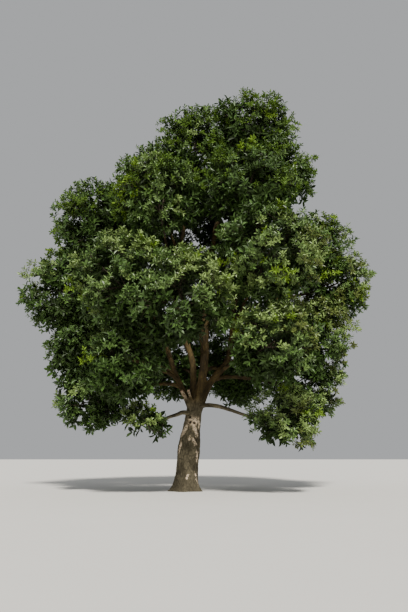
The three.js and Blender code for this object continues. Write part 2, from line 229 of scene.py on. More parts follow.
# Rings and sides of the stems, the twigs, and the branchlets that are the lines of the sprays.
STEM_RINGS = 8
STEM_SIDES = 8
TWIG_SIDES = 6
SPRAY_RINGS = 5
BRANCHLET_SIDES = 4
FINE_SIDES = 3
FINE_BRANCHLET = 0.7

# Side twiglets: how far apart they stand, how they lean, and ranges for where they leave the spray's line,
# how evenly, how far they reach and where a rosette sits halfway along one. Those inside carry dark leaves,
# painted shade inside the crown.
TWIGLET_SPACING = 0.3
FINE_TWIGLET_SPACING = 0.6
TWIGLET_FORWARD = 0.55
TWIGLET_LONGEST = 0.62
TWIGLET_ROLL = (-0.9, 1.15)
TWIGLETS_ALONG = (0.26, 0.95)
TWIGLET_JITTER = (0.2, 0.8)
TWIGLET_REACH = (0.7, 1.1)
OUTLINE_TAPER = 0.8
HALFWAY = (0.45, 0.7)
INNER_TWIGLETS = 3
INNER_TWIGLETS_ON_FINE_SPRAY = 1
INNER_ALONG = (0.04, 0.3)
INNER_REACH = (0.15, 0.45)

# Sky shows through the crown here: places on the upright plane through the trunk, as seen from in front,
# and the radius of each opening.
SKY_GAPS = [
    (-1.27, 12.79, 0.15),
    (-0.6, 12.68, 0.20),
    (0.11, 12.7, 0.22),
    (0.62, 12.95, 0.17),
    (-2.54, 9.04, 0.22),
    (0.03, 9.09, 0.26),
    (-2.22, 8.03, 0.18),
    (-0.82, 6.39, 0.15),
    (-0.24, 6.7, 0.18),
    (0.29, 6.95, 0.26),
    (0.43, 8.03, 0.14),
    (1.21, 6.44, 0.15),
    (5.56, 13.89, 0.38),
    (5.63, 11.66, 0.20),
]

# Limbs show between the leaves that hang in front of them here.
LIMB_GAPS = [
    (0.87, 6.9, 0.3),
    (0.88, 7.4, 0.3),
    (0.9, 7.9, 0.26),
    (0.9, 8.35, 0.2),
    (-2.75, 6.15, 0.3),
]

# The view of the front, from eye height, and the light
EYE = (0.825, -28.5, 1.6)
EYE_PITCH = math.radians(14.06)
VIEW_DISTANCE = 500
KEY_WAY = Vector((0.08, -0.7, 0.71))
KEY_COLOUR = (1.0, 0.96, 0.88)
FLOOR_GRAIN = 0.96


def chance(a, b, c):
    """A repeatable number from 0 to 1 for the given counts."""
    wave = np.sin(a * 12.9898 + b * 78.233 + c * 37.719) * 43758.5453
    return wave - np.floor(wave)


def lerp(low, high, share):
    return low + (high - low) * share


def unit(vectors):
    vectors = np.asarray(vectors, float)
    return vectors / np.maximum(np.linalg.norm(vectors, axis=-1, keepdims=True), SHORTEST)


def dot(first, second):
    return np.sum(first * second, axis=-1, keepdims=True)


def bump_of(distances, width, power=2):
    """1 at no distance, falling smoothly to almost 0 at twice the width."""
    return np.exp(-((distances / width) ** power))


def seen_apart(points, x, z):
    """How far each point lies from a place on the front, seen straight on."""
    return np.hypot(points[:, 0] - x, points[:, 2] - z)


def turned(vectors, axes, angles):
    """The vectors turned about the axes, which are unit vectors."""
    cosine = np.cos(angles)[..., None]
    sine = np.sin(angles)[..., None]
    along = axes * dot(vectors, axes) * (1 - cosine)
    return vectors * cosine + np.cross(axes, vectors) * sine + along


def square_to(ways):
    """A direction square to each way."""
    helper = np.where(np.abs(ways[..., 2:3]) < STEEP, UP, ALONG_X)
    return unit(np.cross(ways, helper))


def ring_ways(first, second, sides):
    """Directions evenly round the plane of two directions."""
    angles = 2 * math.pi * np.arange(sides) / sides
    return first[..., None, :] * np.cos(angles)[:, None] + second[..., None, :] * np.sin(angles)[:, None]


class Path:
    """A curve held as close points, read by a share of its length."""

    def __init__(self, points):
        self.points = np.array(points, float)
        steps = np.linalg.norm(np.diff(self.points, axis=0), axis=1)
        self.along = np.concatenate([[0.0], np.cumsum(steps)])
        self.length = self.along[-1]

    def at(self, share):
        where = np.asarray(share, float) * self.length
        return np.stack([np.interp(where, self.along, column) for column in self.points.T], axis=-1)

    def heading(self, share):
        ahead = self.at(np.minimum(np.asarray(share) + HEADING_STEP, 1))
        return unit(ahead - self.at(np.maximum(np.asarray(share) - HEADING_STEP, 0)))


def bezier(*handles, count=CURVE_STEPS):
    """A Bezier curve with any number of handles."""
    t = np.linspace(0, 1, count)[:, None]
    order = len(handles) - 1
    terms = [
        math.comb(order, i) * t**i * (1 - t) ** (order - i) * np.asarray(handle, float)
        for i, handle in enumerate(handles)
    ]
    return Path(sum(terms))


def catmull_rom(places, count=CURVE_STEPS):
    """A smooth curve through the places, with tension one half."""
    places = np.array(places, float)
    places = np.vstack([2 * places[0] - places[1], places, 2 * places[-1] - places[-2]])
    t = np.linspace(0, 1, count, endpoint=False)[:, None]
    stretches = []
    for before, start, end, after in zip(places, places[1:], places[2:], places[3:]):
        leaving = (end - before) / 2
        arriving = (after - start) / 2
        cubic = 2 * start - 2 * end + leaving + arriving
        square = -3 * start + 3 * end - 2 * leaving - arriving
        stretches.append(start + leaving * t + square * t**2 + cubic * t**3)
    return Path(np.vstack(stretches + [places[-2:-1]]))


# The rule of growth


def trunk_middle(height):
    lean = TRUNK_LEAN * (np.maximum(height, 0) / FORK_HEIGHT) ** LEAN_POWER
    return np.stack([lean, np.zeros_like(lean), height + np.zeros_like(lean)], axis=-1)


def trunk_radius(height, angle):
    height = np.maximum(height, 0)
    taper = lerp(TRUNK_RADIUS_LOW, TRUNK_RADIUS_HIGH, height / SHOULDER_HEIGHT)
    swelling = SWELLING * bump_of(height - SWELLING_HEIGHT, SWELLING_SPREAD)
    buttress = 1 + ROOT_DEPTH * np.cos(ROOT_COUNT * (angle + ROOT_TURN))
    side = taper + swelling + FLARE_RADIUS * np.exp(-height / FLARE_HEIGHT) * buttress
    rise = np.clip((height - SHOULDER_HEIGHT) / (FORK_HEIGHT - SHOULDER_HEIGHT), 0, 1)
    return side * np.sqrt(1 - rise * rise)


class Mass:
    """The space of one mass of foliage: a flattened ball that ends where a neighbour's begins."""

    def __init__(self, index, place, row):
        self.index = index
        self.place = place
        self.middle = np.array(row[0], float)
        self.radius, self.parent, self.at = row[1:]
        self.limb = None
        self.wall_ways = np.zeros((0, 3))
        self.wall_shares = np.zeros(0)

    def add_walls(self, masses):
        others = [other for other in masses if other is not self]
        gaps = np.array([other.middle - self.middle for other in others]) / (1, 1, FLATNESS)
        lengths = np.linalg.norm(gaps, axis=1)
        radii = np.array([other.radius for other in others])
        self.wall_ways = gaps / lengths[:, None]
        self.wall_shares = (lengths**2 + self.radius**2 - radii**2) / (2 * lengths)

    def way_out(self, directions):
        """How far the space reaches from its middle in each direction."""
        reach, walls = self.ball_and_walls(directions)
        return np.minimum(reach, walls)

    def ball_and_walls(self, directions):
        """How far the ball's surface and the nearest wall lie from the middle in each direction."""
        ways = np.asarray(directions) / (1, 1, FLATNESS)
        reach = self.radius / np.linalg.norm(ways, axis=-1)
        towards = ways @ self.wall_ways.T
        walls = np.full(towards.shape, np.inf)
        np.divide(self.wall_shares - SPACE_CLEARANCE, towards, out=walls, where=towards > 0)
        return reach, walls.min(axis=-1)

    def holds(self, points):
        away = points - self.middle
        distance = np.linalg.norm(away, axis=-1)
        return distance <= self.way_out(unit(away))

    def entry(self, origin):
        back = unit(origin - self.middle)
        return self.middle + back * ENTRY * self.way_out(back)

    def outward_directions(self, count, shortest=SHORTEST_WAY_OUT, inward=MOST_INWARD):
        """Directions spread evenly, without those into the tree or at a close neighbour."""
        i = np.arange(count)
        height = 1 - (2 * i + 1) / count
        turn = GOLDEN_ANGLE * i + 2 * math.pi * chance(self.index, count, 1)
        flat = np.sqrt(1 - height * height)
        directions = np.stack([flat * np.cos(turn), flat * np.sin(turn), height], axis=1)
        is_open = self.way_out(directions) > shortest * self.radius
        return directions[is_open & (directions @ unit(self.middle - TREE_MIDDLE) > inward)]

    def fine_directions(self, density):
        """Directions for fine sprays, so many for each square metre of the radius."""
        count = round(density * self.radius**2 * DENSER.get(self.place, 1))
        return self.outward_directions(count, FINE_SHORTEST_WAY_OUT, FINE_MOST_INWARD)


class Limb:
    """A tapering limb along a path."""

    def __init__(self, path, base_radius, rings):
        self.path = path
        self.base_radius = base_radius
        self.rings = rings

    def radius(self, share):
        share = np.asarray(share, float)
        collar = 1 + COLLAR * np.exp(-share * self.path.length / COLLAR_LENGTH)
        swell = self.base_radius * collar - TIP_RADIUS
        return TIP_RADIUS + swell * np.maximum(1 - share, 0) ** LIMB_TAPER


def make_masses():
    masses = [Mass(index, place, row) for index, (place, row) in enumerate(MASSES.items())]
    for mass in masses:
        mass.add_walls(masses)
    return masses


def make_limbs(masses):
    """Every limb and bough by its node's name, and the limb that ends in each mass."""
    by_place = {mass.place: mass for mass in masses}
    limbs = {}
    for name, (place, radius, through) in MAIN_LIMBS.items():
        mass = by_place[place]
        places = [np.array(point, float) for point in through]
        places.append(mass.entry(places[-1]))
        limbs[name] = Limb(catmull_rom(places), radius, LIMB_RINGS)
        mass.limb = limbs[name]
    for mass in masses:
        if mass.parent is None:
            continue
        limbs["bough_" + mass.place] = mass.limb = make_bough(mass, limbs)
    return limbs


def make_bough(mass, limbs):
    """A side bough leaves its limb partly along it, and comes round and up to its mass."""
    if mass.parent == "trunk":
        start = trunk_middle(mass.at * FORK_HEIGHT)
        along = UP
        base_radius = BOUGH_RADIUS_MOST
    else:
        parent = limbs[mass.parent]
        start = parent.path.at(mass.at)
        along = parent.path.heading(mass.at)
        base_radius = min(float(parent.radius(mass.at)) * BOUGH_SHARE, BOUGH_RADIUS_MOST)
    end = mass.entry(start)
    length = np.linalg.norm(end - start)
    straight = unit(end - start)
    leaving = unit(lerp(straight, along, FOLLOW_PARENT))
    arriving = unit(straight - ARCH * UP)
    path = bezier(start, start + leaving * length / 3, end - arriving * length / 3, end)
    return Limb(path, base_radius, BOUGH_RINGS)


class Bark:
    """Short straight pieces of every limb, which leaves keep off."""

    def __init__(self, limbs):
        starts, ends, radii = [], [], []
        for limb in limbs.values():
            shares = np.arange(limb.rings + 1) / limb.rings
            points = limb.path.at(shares)
            starts.append(points[:-1])
            ends.append(points[1:])
            radii.append(limb.radius(shares[:-1]))
        self.start = np.vstack(starts)
        self.along = np.vstack(ends) - self.start
        self.radius = np.concatenate(radii)

    def is_clear(self, start, end, half_width):
        """Whether a straight line keeps clear of every piece, where the two come closest."""
        line = end - start
        gap = start - self.start
        line_square = line @ line
        both = self.along @ line
        piece_square = np.sum(self.along**2, axis=1)
        gap_on_line = gap @ line
        gap_on_piece = np.sum(self.along * gap, axis=1)
        spread = np.maximum(line_square * piece_square - both * both, NEARLY_PARALLEL)
        on_line = np.clip((both * gap_on_piece - piece_square * gap_on_line) / spread, 0, 1)
        on_piece = np.clip((both * on_line + gap_on_piece) / piece_square, 0, 1)
        on_line = np.clip((both * on_piece - gap_on_line) / line_square, 0, 1)
        between = gap + on_line[:, None] * line - on_piece[:, None] * self.along
        distance = np.linalg.norm(between, axis=1)
        return bool(np.all(distance > self.radius + half_width + LIMB_CLEARANCE))


class Spray:
    """A branchlet with its side twiglets: the fine form of one leaf of the solid model, or smaller."""

    def __init__(self, mass, root, tip, face, width, is_fine=False):
        self.mass = mass
        self.root = root
        self.tip = tip
        self.face = face
        self.width = width
        self.is_fine = is_fine

    @property
    def away(self):
        return unit(self.tip - self.root)

    @property
    def length(self):
        return float(np.linalg.norm(self.tip - self.root))

    def sides(self):
        """The ends of its widest side twiglets, in the solid model's outline."""
        across = unit(np.cross(self.face, self.tip - self.root))
        widest = lerp(self.root, self.tip, SPRAY_WIDEST) - self.face * SPRAY_FOLD * self.length
        return widest + across * self.width * np.array([[-0.5], [0.5]])

    def fits(self, bark):
        corners = np.vstack([self.tip, self.sides()])
        inside = bool(np.all(self.mass.holds(corners)))
        return inside and bark.is_clear(self.root, self.tip, self.width / 2)

    def axis(self):
        middle = lerp(self.root, self.tip, 0.5) + self.face * SPRAY_ARCH * 2 * self.length
        return bezier(self.root, middle, self.tip, count=SPRAY_STEPS)


def face_towards(direction, away, twist):
    """A spray looks out and a little up, and is turned about its own line."""
    face = direction + SPRAY_LIFT * UP
    face = unit(face - away * (face @ away))
    return turned(face, away, np.array(SPRAY_TWIST * twist))


def make_spray(mass, twig, direction, place, bark):
    """The spray that grows from a twig to the edge of the space, or None where it doesn't fit."""
    path, sprays = twig
    tip = mass.middle + direction * SPRAY_REACH * mass.way_out(direction)
    start = path.at(1 - FIRST_SPRAY - SPRAY_STEP * len(sprays))
    away = unit(tip - start)
    root = start - away * SPRAY_SINK * TWIG_TIP_RADIUS
    length = float(np.linalg.norm(tip - root))
    face = face_towards(direction, away, chance(mass.index, place, 2) - 0.5)
    width = length * (SPRAY_WIDTH + SPRAY_WIDTH_RANGE * (chance(mass.index, place, 3) - 0.5))
    spray = Spray(mass, root, tip, face, width)
    if length < SPRAY_SHORTEST:
        return None
    if not spray.fits(bark):
        spray.width *= SPRAY_NARROWEST
    return spray if spray.fits(bark) else None


def layer_at(point):
    """Where a point lies between the hollows (below 0) and the crests (above 0) of the foliage's layers."""
    return noise.noise(Vector(point / LAYER_PITCH))


def make_fine_spray(mass, direction, place, parents, bark):
    """A smaller spray that branches from the nearest larger one, and fills in between them."""
    nearest = max(parents, key=lambda parent: unit(parent.tip - mass.middle) @ direction)
    reach = lerp(FINE_REACH_LEAST, FINE_REACH_MOST, math.sqrt(chance(mass.index, place, 4)))
    ball, wall = mass.ball_and_walls(direction)
    way_out = min(ball, wall + WALL_OVERLAP)
    reach += LAYER_HOLLOW * min(layer_at(mass.middle + direction * way_out), 0)
    tip = mass.middle + direction * reach * way_out
    root = nearest.axis().at(lerp(FINE_ROOT_FIRST, FINE_ROOT_LAST, chance(mass.index, place, 5)))
    away = unit(tip - root)
    face = face_towards(direction, away, 2 * (chance(mass.index, place, 6) - 0.5))
    length = float(np.linalg.norm(tip - root))
    if length < FINE_SHORTEST or not bark.is_clear(root, tip, FINE_HALF_WIDTH):
        return None
    return Spray(mass, root, tip, face, length * FINE_WIDTH, is_fine=True)


def on_slope(spray):
    """Whether a spray of a low clump belongs to the slope on which that clump hangs."""
    steepness, below, above = SLOPING.get(spray.mass.place, (0, math.inf, math.inf))
    x, _, z = spray.tip - spray.mass.middle
    return -below < z + steepness * x < above


class Crown:
    """All that grows from the limbs: stems, twigs and sprays, mass by mass."""

    def __init__(self):
        self.masses = make_masses()
        self.limbs = make_limbs(self.masses)
        self.bark = Bark(self.limbs)
        self.stems = []
        self.twigs = []
        self.sprays = []
        for mass in self.masses:
            self.grow(mass)

    def grow(self, mass):
        stem = self.grow_stem(mass)
        twigs = self.grow_twigs(mass, stem)
        coarse = self.grow_sprays(mass, twigs)
        self.grow_fine_sprays(mass, coarse)

    def grow_stem(self, mass):
        """A mass's own stem, from the tip of its limb towards its heart."""
        heading = mass.limb.path.heading(1)
        base = mass.limb.path.at(1)
        heart = mass.middle + heading * STEM_REACH * mass.radius
        stem = bezier(base, base + heading * np.linalg.norm(heart - base) / 2, heart)
        self.stems.append(stem)
        return stem

    def grow_twigs(self, mass, stem):
        """The twigs that clear the limbs, each as its direction, its path and room for its sprays."""
        directions = mass.outward_directions(TWIG_DIRECTIONS)
        twigs = []
        for index, direction in enumerate(directions):
            start = stem.at(lerp(FIRST_TWIG, LAST_TWIG, index / len(directions)))
            end = mass.middle + direction * TWIG_REACH * mass.way_out(direction)
            if self.bark.is_clear(start, end, TWIG_RADIUS):
                twigs.append((direction, Path([start, end]), []))
        return twigs

    def grow_sprays(self, mass, twigs):
        """The sprays of the solid model, each on the twig that heads most nearly its way."""
        for place, direction in enumerate(mass.outward_directions(SPRAY_DIRECTIONS)):
            nearest = max(twigs, key=lambda twig: twig[0] @ direction)
            spray = make_spray(mass, nearest[1:], direction, place, self.bark)
            if spray and on_slope(spray):
                nearest[2].append(spray)
        coarse = [spray for twig in twigs for spray in twig[2]]
        self.twigs += [path for _, path, sprays in twigs if sprays]
        self.sprays += coarse
        return coarse

    def grow_fine_sprays(self, mass, coarse):
        """Smaller sprays all over, and more in gaps between larger ones and where masses meet."""
        even = mass.fine_directions(FINE_DIRECTIONS)
        spare = mass.fine_directions(GAP_DIRECTIONS)
        tips = unit(np.array([spray.tip for spray in coarse]) - mass.middle)
        reach, walls = mass.ball_and_walls(spare)
        in_gap = (spare @ tips.T).max(axis=1) < GAP_CLOSENESS
        in_gap |= np.abs(walls / reach - 1) < CREASE_CLOSENESS
        for place, direction in enumerate(np.vstack([even, spare[in_gap]])):
            spray = make_fine_spray(mass, direction, place, coarse, self.bark)
            if spray and on_slope(spray):
                self.sprays.append(spray)


# Twiglets and leaves

# The colour groups of the leaves, each a piece of its own, and the exposure up to which each of the plain
# ones is dealt out. The groups are painted light and shade: lighter greens out in the light, darker ones
# inside and in hollows. Leaves are painted paler towards the ground and the right, as painted light.
TONES = ("inner", "shade", "deep", "middle", "light", "bright", "fresh", "crest", "olive")
TONE_STEPS = {"inner": -0.9, "shade": -0.25, "deep": 0.1, "middle": 0.45, "light": 0.8}
PAINTED_LIGHT_BELOW_Z = 9.0
PAINTED_LIGHT_FADE = 0.065
PAINTED_LIGHT_RIGHT = 0.02

# Young leaves are strewn over the exposed side, warm green ones high up, in part painted sunlight through
# the leaves there, and olive ones on the right.
FRESH_ABOVE = 0.35
FRESH_SHARE = 0.1
CREST_ABOVE = -0.2
CREST_SHARE = 0.75
CREST_FROM_Z = 11.0
CREST_FULL_Z = 15.5
OLIVE_SHARE = 0.3
OLIVE_FROM_X = 4.6
OLIVE_BELOW_Z = 12.5

# Painted light and shade in the leaves' colours, where clumps catch the light and hollows lie in the shade
# of those above: place, reach, how much lighter.
LIGHT_AND_SHADE = [
    (-4.0, -3.2, 7.7, 1.6, 1.2),
    (3.3, -5.3, 7.9, 1.7, 1.5),
    (5.5, -2.0, 8.5, 1.3, 0.6),
    (0.3, -5.0, 10.3, 1.3, 0.4),
    (0.8, -1.5, 17.6, 2.2, 0.4),
    (-1.0, -4.2, 11.0, 1.3, 0.7),
    (3.4, -1.0, 19.6, 1.3, 0.7),
    (-0.5, -5.0, 6.8, 1.5, -1.2),
    (3.4, -5.0, 12.0, 1.6, -1.0),
    (3.4, -1.8, 16.6, 1.2, -0.6),
    (-5.8, -0.8, 6.3, 1.3, -0.9),
    (-2.9, -4.6, 5.6, 1.5, -1.6),
    (3.3, -5.0, 5.6, 1.5, -1.2),
    (-4.8, -1.5, 5.6, 1.8, -1.3),
    (-3.7, -3.8, 9.8, 1.2, -1.6),
    (-1.6, -3.2, 3.1, 1.2, 0.7),
    (5.7, -2.0, 5.6, 1.6, -1.0),
]

# The foliage lies in flat layers: their size, how much lighter their crests are painted, as painted light,
# and how deep their hollows.
LAYER_PITCH = np.array([1.5, 1.5, 0.75])
LAYER_PAINTED_LIGHT = 0.8
LAYER_HOLLOW = 0.25

# A rosette leans along its twiglet, out of its mass and up, and its leaves spread from its axis by turns.
MIDDLING_LEAF = 0.2
TIP_LEAD = 0.14
ROSETTE_SIZE = (0.85, 1.15)
ROSETTE_ALONG = 0.55
ROSETTE_OUT = 0.45
ROSETTE_UP = 0.5
ROSETTE_SCATTER = 0.22
LEAF_SPIRAL_FIRST = 0.6
LEAF_SPIRAL_LAST = 1.65
LEAF_SPIRAL_SCATTER = 0.2
LEAF_TURN_SCATTER = 0.25
LEAF_STAGGER = 0.2
LEAF_DROOP = 0.14
LEAF_ROLL = 0.9
LEAF_NUDGE = 1e-3
LEAF_SIZE = (0.78, 1.12)

# Leaves in the shade of others are fewer and larger.
SHADED_SIZES = {"inner": 1.9, "shade": 1.62, "deep": 1.35}

# Half of a leaf's outline, from its stalk to its tip: along and across, as shares of its length and of its
# half width. The corners are the stalk, the tip, those on the right and those on the left.
LEAF_OUTLINE = [(0.34, 0.86), (0.68, 0.96)]
LEAF_TRIANGLES = [(0, 3, 2), (0, 1, 3), (0, 4, 5), (0, 5, 1)]
LEAF_CUP = 0.3
LEAF_ARCH = 0.07


def tone_of(spray, draws):
    """The colour group of a spray, from how far out and up it lies, with some chance: painted light and
    shade, lighter out in the light, low down, to the right, on the layers' crests and in lit clumps, darker
    in hollows.
    """
    if spray.tip[0] > OLIVE_FROM_X and spray.tip[2] < OLIVE_BELOW_Z and draws[0] < OLIVE_SHARE:
        return "olive"
    x, y, z = spray.tip - TREE_MIDDLE
    outward = unit((x, y, math.hypot(x, y)))
    exposure = unit(spray.tip - spray.mass.middle) @ outward + draws[1] - 0.5
    # Painted light: paler low down and to the right, lighter on the layers' crests and in lit clumps,
    # darker in hollows.
    exposure += PAINTED_LIGHT_FADE * (PAINTED_LIGHT_BELOW_Z - spray.tip[2]) + PAINTED_LIGHT_RIGHT * x
    exposure += LAYER_PAINTED_LIGHT * layer_at(spray.tip)
    for *place, reach, lift in LIGHT_AND_SHADE:
        exposure += lift * math.exp(-(math.dist(spray.tip, place) / reach) ** 2)
    if exposure > FRESH_ABOVE and draws[2] < FRESH_SHARE:
        return "fresh"
    crest_share = np.interp(spray.tip[2], (CREST_FROM_Z, CREST_FULL_Z), (0, CREST_SHARE))
    if exposure > CREST_ABOVE and draws[2] > 1 - crest_share:
        return "crest"
    for tone, highest in TONE_STEPS.items():
        if exposure < highest:
            return tone
    return "bright"


def keep_in_reach(mass, points, lead):
    """Points that would leave the ball of their mass are drawn back to just inside it."""
    away = points - mass.middle
    distance = np.linalg.norm(away, axis=1, keepdims=True)
    ways = unit(away)
    reach = mass.radius / np.linalg.norm(ways / (1, 1, FLATNESS), axis=1, keepdims=True) - lead
    return mass.middle + ways * np.minimum(distance, reach)


def is_kept_open(points):
    """Whether each point lies on a line of sight to one of the openings, and isn't behind a limb in it."""
    eye = np.array(EYE)
    ways = points - eye
    places = eye + ways * (-eye[1] / ways[:, 1:2])
    is_open = np.zeros(len(points), bool)
    for x, z, radius in SKY_GAPS:
        is_open |= seen_apart(places, x, z) < radius
    for x, z, radius in LIMB_GAPS:
        is_open |= (seen_apart(places, x, z) < radius) & (points[:, 1] < 0)
    return is_open


class Foliage:
    """The twiglets of every spray, and the rosettes of leaves that they carry, as rows of numbers."""

    def __init__(self, crown, leaf_length):
        self.axes = []
        self.twiglets = []
        self.rosettes = {tone: [] for tone in TONES}
        for index, spray in enumerate(crown.sprays):
            self.dress(spray, np.random.default_rng((SEED, index)), leaf_length)

    def dress(self, spray, rng, leaf_length):
        """A spray's own line, its side twiglets by turns, and a rosette at each end and halfway."""
        lead = TIP_LEAD * leaf_length / MIDDLING_LEAF
        spray.tip = spray.tip - spray.away * lead
        axis = spray.axis()
        self.axes.append(axis.at(np.linspace(0, 1, SPRAY_RINGS)))
        # The spray's colour group carries painted light and shade.
        tone = tone_of(spray, rng.random(3))

        spacing = FINE_TWIGLET_SPACING if spray.is_fine else TWIGLET_SPACING
        count = max(1, round(spray.length / spacing))
        share = lerp(*TWIGLETS_ALONG, (np.arange(count) + rng.uniform(*TWIGLET_JITTER, count)) / count)
        outline = 1 - np.abs(share - SPRAY_WIDEST) / OUTLINE_TAPER
        reach = spray.width / 2 * outline * rng.uniform(*TWIGLET_REACH, count)
        ends, starts = self.side_twiglets(spray, axis, share, reach, rng)
        ends = keep_in_reach(spray.mass, ends, lead)
        self.twiglets.append(np.stack([starts, ends], axis=1))
        halfway = lerp(starts, ends, rng.uniform(*HALFWAY, (count, 1)))
        outward = np.vstack([spray.away, unit(ends - starts), unit(ends - starts)])
        self.add_rosettes(tone, spray, np.vstack([spray.tip, ends, halfway]), outward, rng)

        count = INNER_TWIGLETS_ON_FINE_SPRAY if spray.is_fine else INNER_TWIGLETS
        share = rng.uniform(*INNER_ALONG, count)
        reach = rng.uniform(*INNER_REACH, count)
        ends, starts = self.side_twiglets(spray, axis, share, reach, rng)
        self.twiglets.append(np.stack([starts, ends], axis=1))
        # The inner rosettes take the darkest green, painted shade inside the crown.
        self.add_rosettes("inner", spray, ends, unit(ends - starts), rng)

    @staticmethod
    def side_twiglets(spray, axis, share, reach, rng):
        """The ends and the feet of twiglets on the two sides of a spray by turns."""
        count = len(share)
        across = unit(np.cross(spray.face, spray.away))
        side = np.where(np.arange(count) % 2, 1, -1)[:, None]
        roll = rng.uniform(*TWIGLET_ROLL, count)[:, None]
        ways = across * side * np.cos(roll) + spray.face * np.sin(roll)
        ways = unit(ways + TWIGLET_FORWARD * spray.away)
        starts = axis.at(share)
        lengths = np.minimum(reach * math.hypot(1, TWIGLET_FORWARD), TWIGLET_LONGEST)
        return starts + ways * lengths[:, None], starts

    def add_rosettes(self, tone, spray, places, outward, rng):
        """A rosette at each place: its place, axis, size, turn and the way its twiglet runs."""
        sizes = rng.uniform(*ROSETTE_SIZE, len(places)) * SHADED_SIZES.get(tone, 1)
        out = unit(places - spray.mass.middle)
        lean = ROSETTE_ALONG * outward + ROSETTE_OUT * out + ROSETTE_UP * UP
        axes = unit(lean + rng.normal(0, ROSETTE_SCATTER, places.shape))
        turns = rng.uniform(0, 2 * math.pi, len(places))
        rows = np.column_stack([places, axes, sizes, turns, outward])
        self.rosettes[tone].append(rows[~is_kept_open(places)])


def leaf_corners(width):
    """The corners of one leaf of length 1: along, across and up."""
    outline = np.array(LEAF_OUTLINE)
    half = outline[:, 1] * width / 2
    right = np.column_stack([outline[:, 0], half, LEAF_CUP * half + LEAF_ARCH])
    return np.vstack([(0, 0, 0), (1, 0, 0), right, right * (1, -1, 1)])


def leaf_rosettes(rows, leaf_length, leaf_width, leaf_count, rng):
    """All the leaves of many rosettes: vertices, triangles, and a tint for each vertex."""
    corners = leaf_corners(leaf_width)
    place = rows[:, None, 0:3]
    axis = rows[:, None, 3:6]
    size = rows[:, 6:7]
    turn = rows[:, 7:8]
    line = rows[:, None, 8:11]
    order = (np.arange(leaf_count) + 0.5)[None, :] / leaf_count
    shape = (len(rows), leaf_count)
    azimuth = turn + GOLDEN_ANGLE * np.arange(leaf_count)
    azimuth = azimuth + rng.uniform(-LEAF_TURN_SCATTER, LEAF_TURN_SCATTER, shape)
    spread = lerp(LEAF_SPIRAL_FIRST, LEAF_SPIRAL_LAST, order)
    spread = spread + rng.uniform(-LEAF_SPIRAL_SCATTER, LEAF_SPIRAL_SCATTER, shape)
    first = square_to(axis)
    second = np.cross(axis, first)
    radial = first * np.cos(azimuth)[..., None] + second * np.sin(azimuth)[..., None]
    along = axis * np.cos(spread)[..., None] + radial * np.sin(spread)[..., None]
    along = unit(along - LEAF_DROOP * UP)
    up = axis + radial * LEAF_NUDGE
    up = unit(up - along * dot(up, along))
    up = turned(up, along, rng.uniform(-LEAF_ROLL, LEAF_ROLL, shape) / 2)
    across = np.cross(up, along)
    length = (leaf_length * size * rng.uniform(*LEAF_SIZE, shape))[..., None, None]
    base = place - line * (LEAF_STAGGER * order)[..., None]
    frames = np.stack([along, across, up], axis=2)
    vertices = base[:, :, None, :] + length * (corners @ frames)
    count = len(rows) * leaf_count
    faces = np.arange(count)[:, None, None] * len(corners) + np.array(LEAF_TRIANGLES)
    tint = np.repeat(rng.random(count), len(corners))
    return vertices.reshape(-1, 3), faces.reshape(-1, 3), tint


# Tubes


def tubes(points, radii, sides):
    """Closed round tubes along rows of points, all with the same number of rings."""
    count, rings = radii.shape
    headings = unit(np.gradient(points, axis=1))
    normal = square_to(headings[:, 0])
    normals = []
    for ring in range(rings):
        normal = unit(normal - headings[:, ring] * dot(normal, headings[:, ring]))
        normals.append(normal)
    normals = np.stack(normals, axis=1)
    ways = ring_ways(normals, np.cross(headings, normals), sides)
    vertices = points[:, :, None] + radii[:, :, None, None] * ways
    return vertices.reshape(-1, 3), tube_faces(count, rings, sides)


def tube_faces(count, rings, sides):
    """The triangles of closed tubes whose vertices run round each ring, ring by ring."""
    ring = np.arange(rings - 1)[:, None] * sides
    side = np.arange(sides)[None, :]
    after = (side + 1) % sides
    low = np.stack([ring + side, ring + after, ring + sides + after], axis=-1)
    high = np.stack([ring + side, ring + sides + after, ring + sides + side], axis=-1)
    fan = np.arange(1, sides - 1)
    bottom = np.stack([0 * fan, fan + 1, fan], axis=-1)
    top = np.stack([0 * fan, fan, fan + 1], axis=-1) + (rings - 1) * sides
    one = np.concatenate([low.reshape(-1, 3), high.reshape(-1, 3), bottom, top])
    return (np.arange(count)[:, None, None] * rings * sides + one).reshape(-1, 3)


def spikes(lines, radius):
    """Thin twiglets with three sides that run out to a point, from their feet to their tips."""
    way = unit(lines[:, 1] - lines[:, 0])
    first = square_to(way)
    ring = lines[:, :1] + radius * ring_ways(first, np.cross(way, first), 3)
    vertices = np.concatenate([ring, lines[:, 1:]], axis=1)
    one = np.array([(0, 1, 3), (1, 2, 3), (2, 0, 3), (0, 2, 1)])
    faces = np.arange(len(lines))[:, None, None] * len(one) + one
    return vertices.reshape(-1, 3), faces.reshape(-1, 3)


def joined(parts):
    """Several pairs of vertices and triangles as one pair."""
    start = 0
    vertices, faces = [], []
    for part_vertices, part_faces in parts:
        vertices.append(part_vertices)
        faces.append(part_faces + start)
        start += len(part_vertices)
    return np.vstack(vertices), np.vstack(faces)


# Trunk and limbs

VOXEL = 0.04
SMOOTH_ROUNDS = 5
SMOOTH_IN = 0.5
SMOOTH_OUT = -0.52
JUNCTION_ROUNDS = 14
JUNCTION_REACH = 0.14
JUNCTION_PULL = 0.6
TRUNK_TUBE_SIDES = 72
TRUNK_TUBE_RINGS = 90
TRUNK_TUBE_TOP = 0.999
TRUNK_RING_POWER = 1.2
BELOW_GROUND = 0.12
LIMB_TUBE_SIDES = 24
LIMB_TUBE_SPACING = 0.08
FINE_BARK_BELOW = 4.6

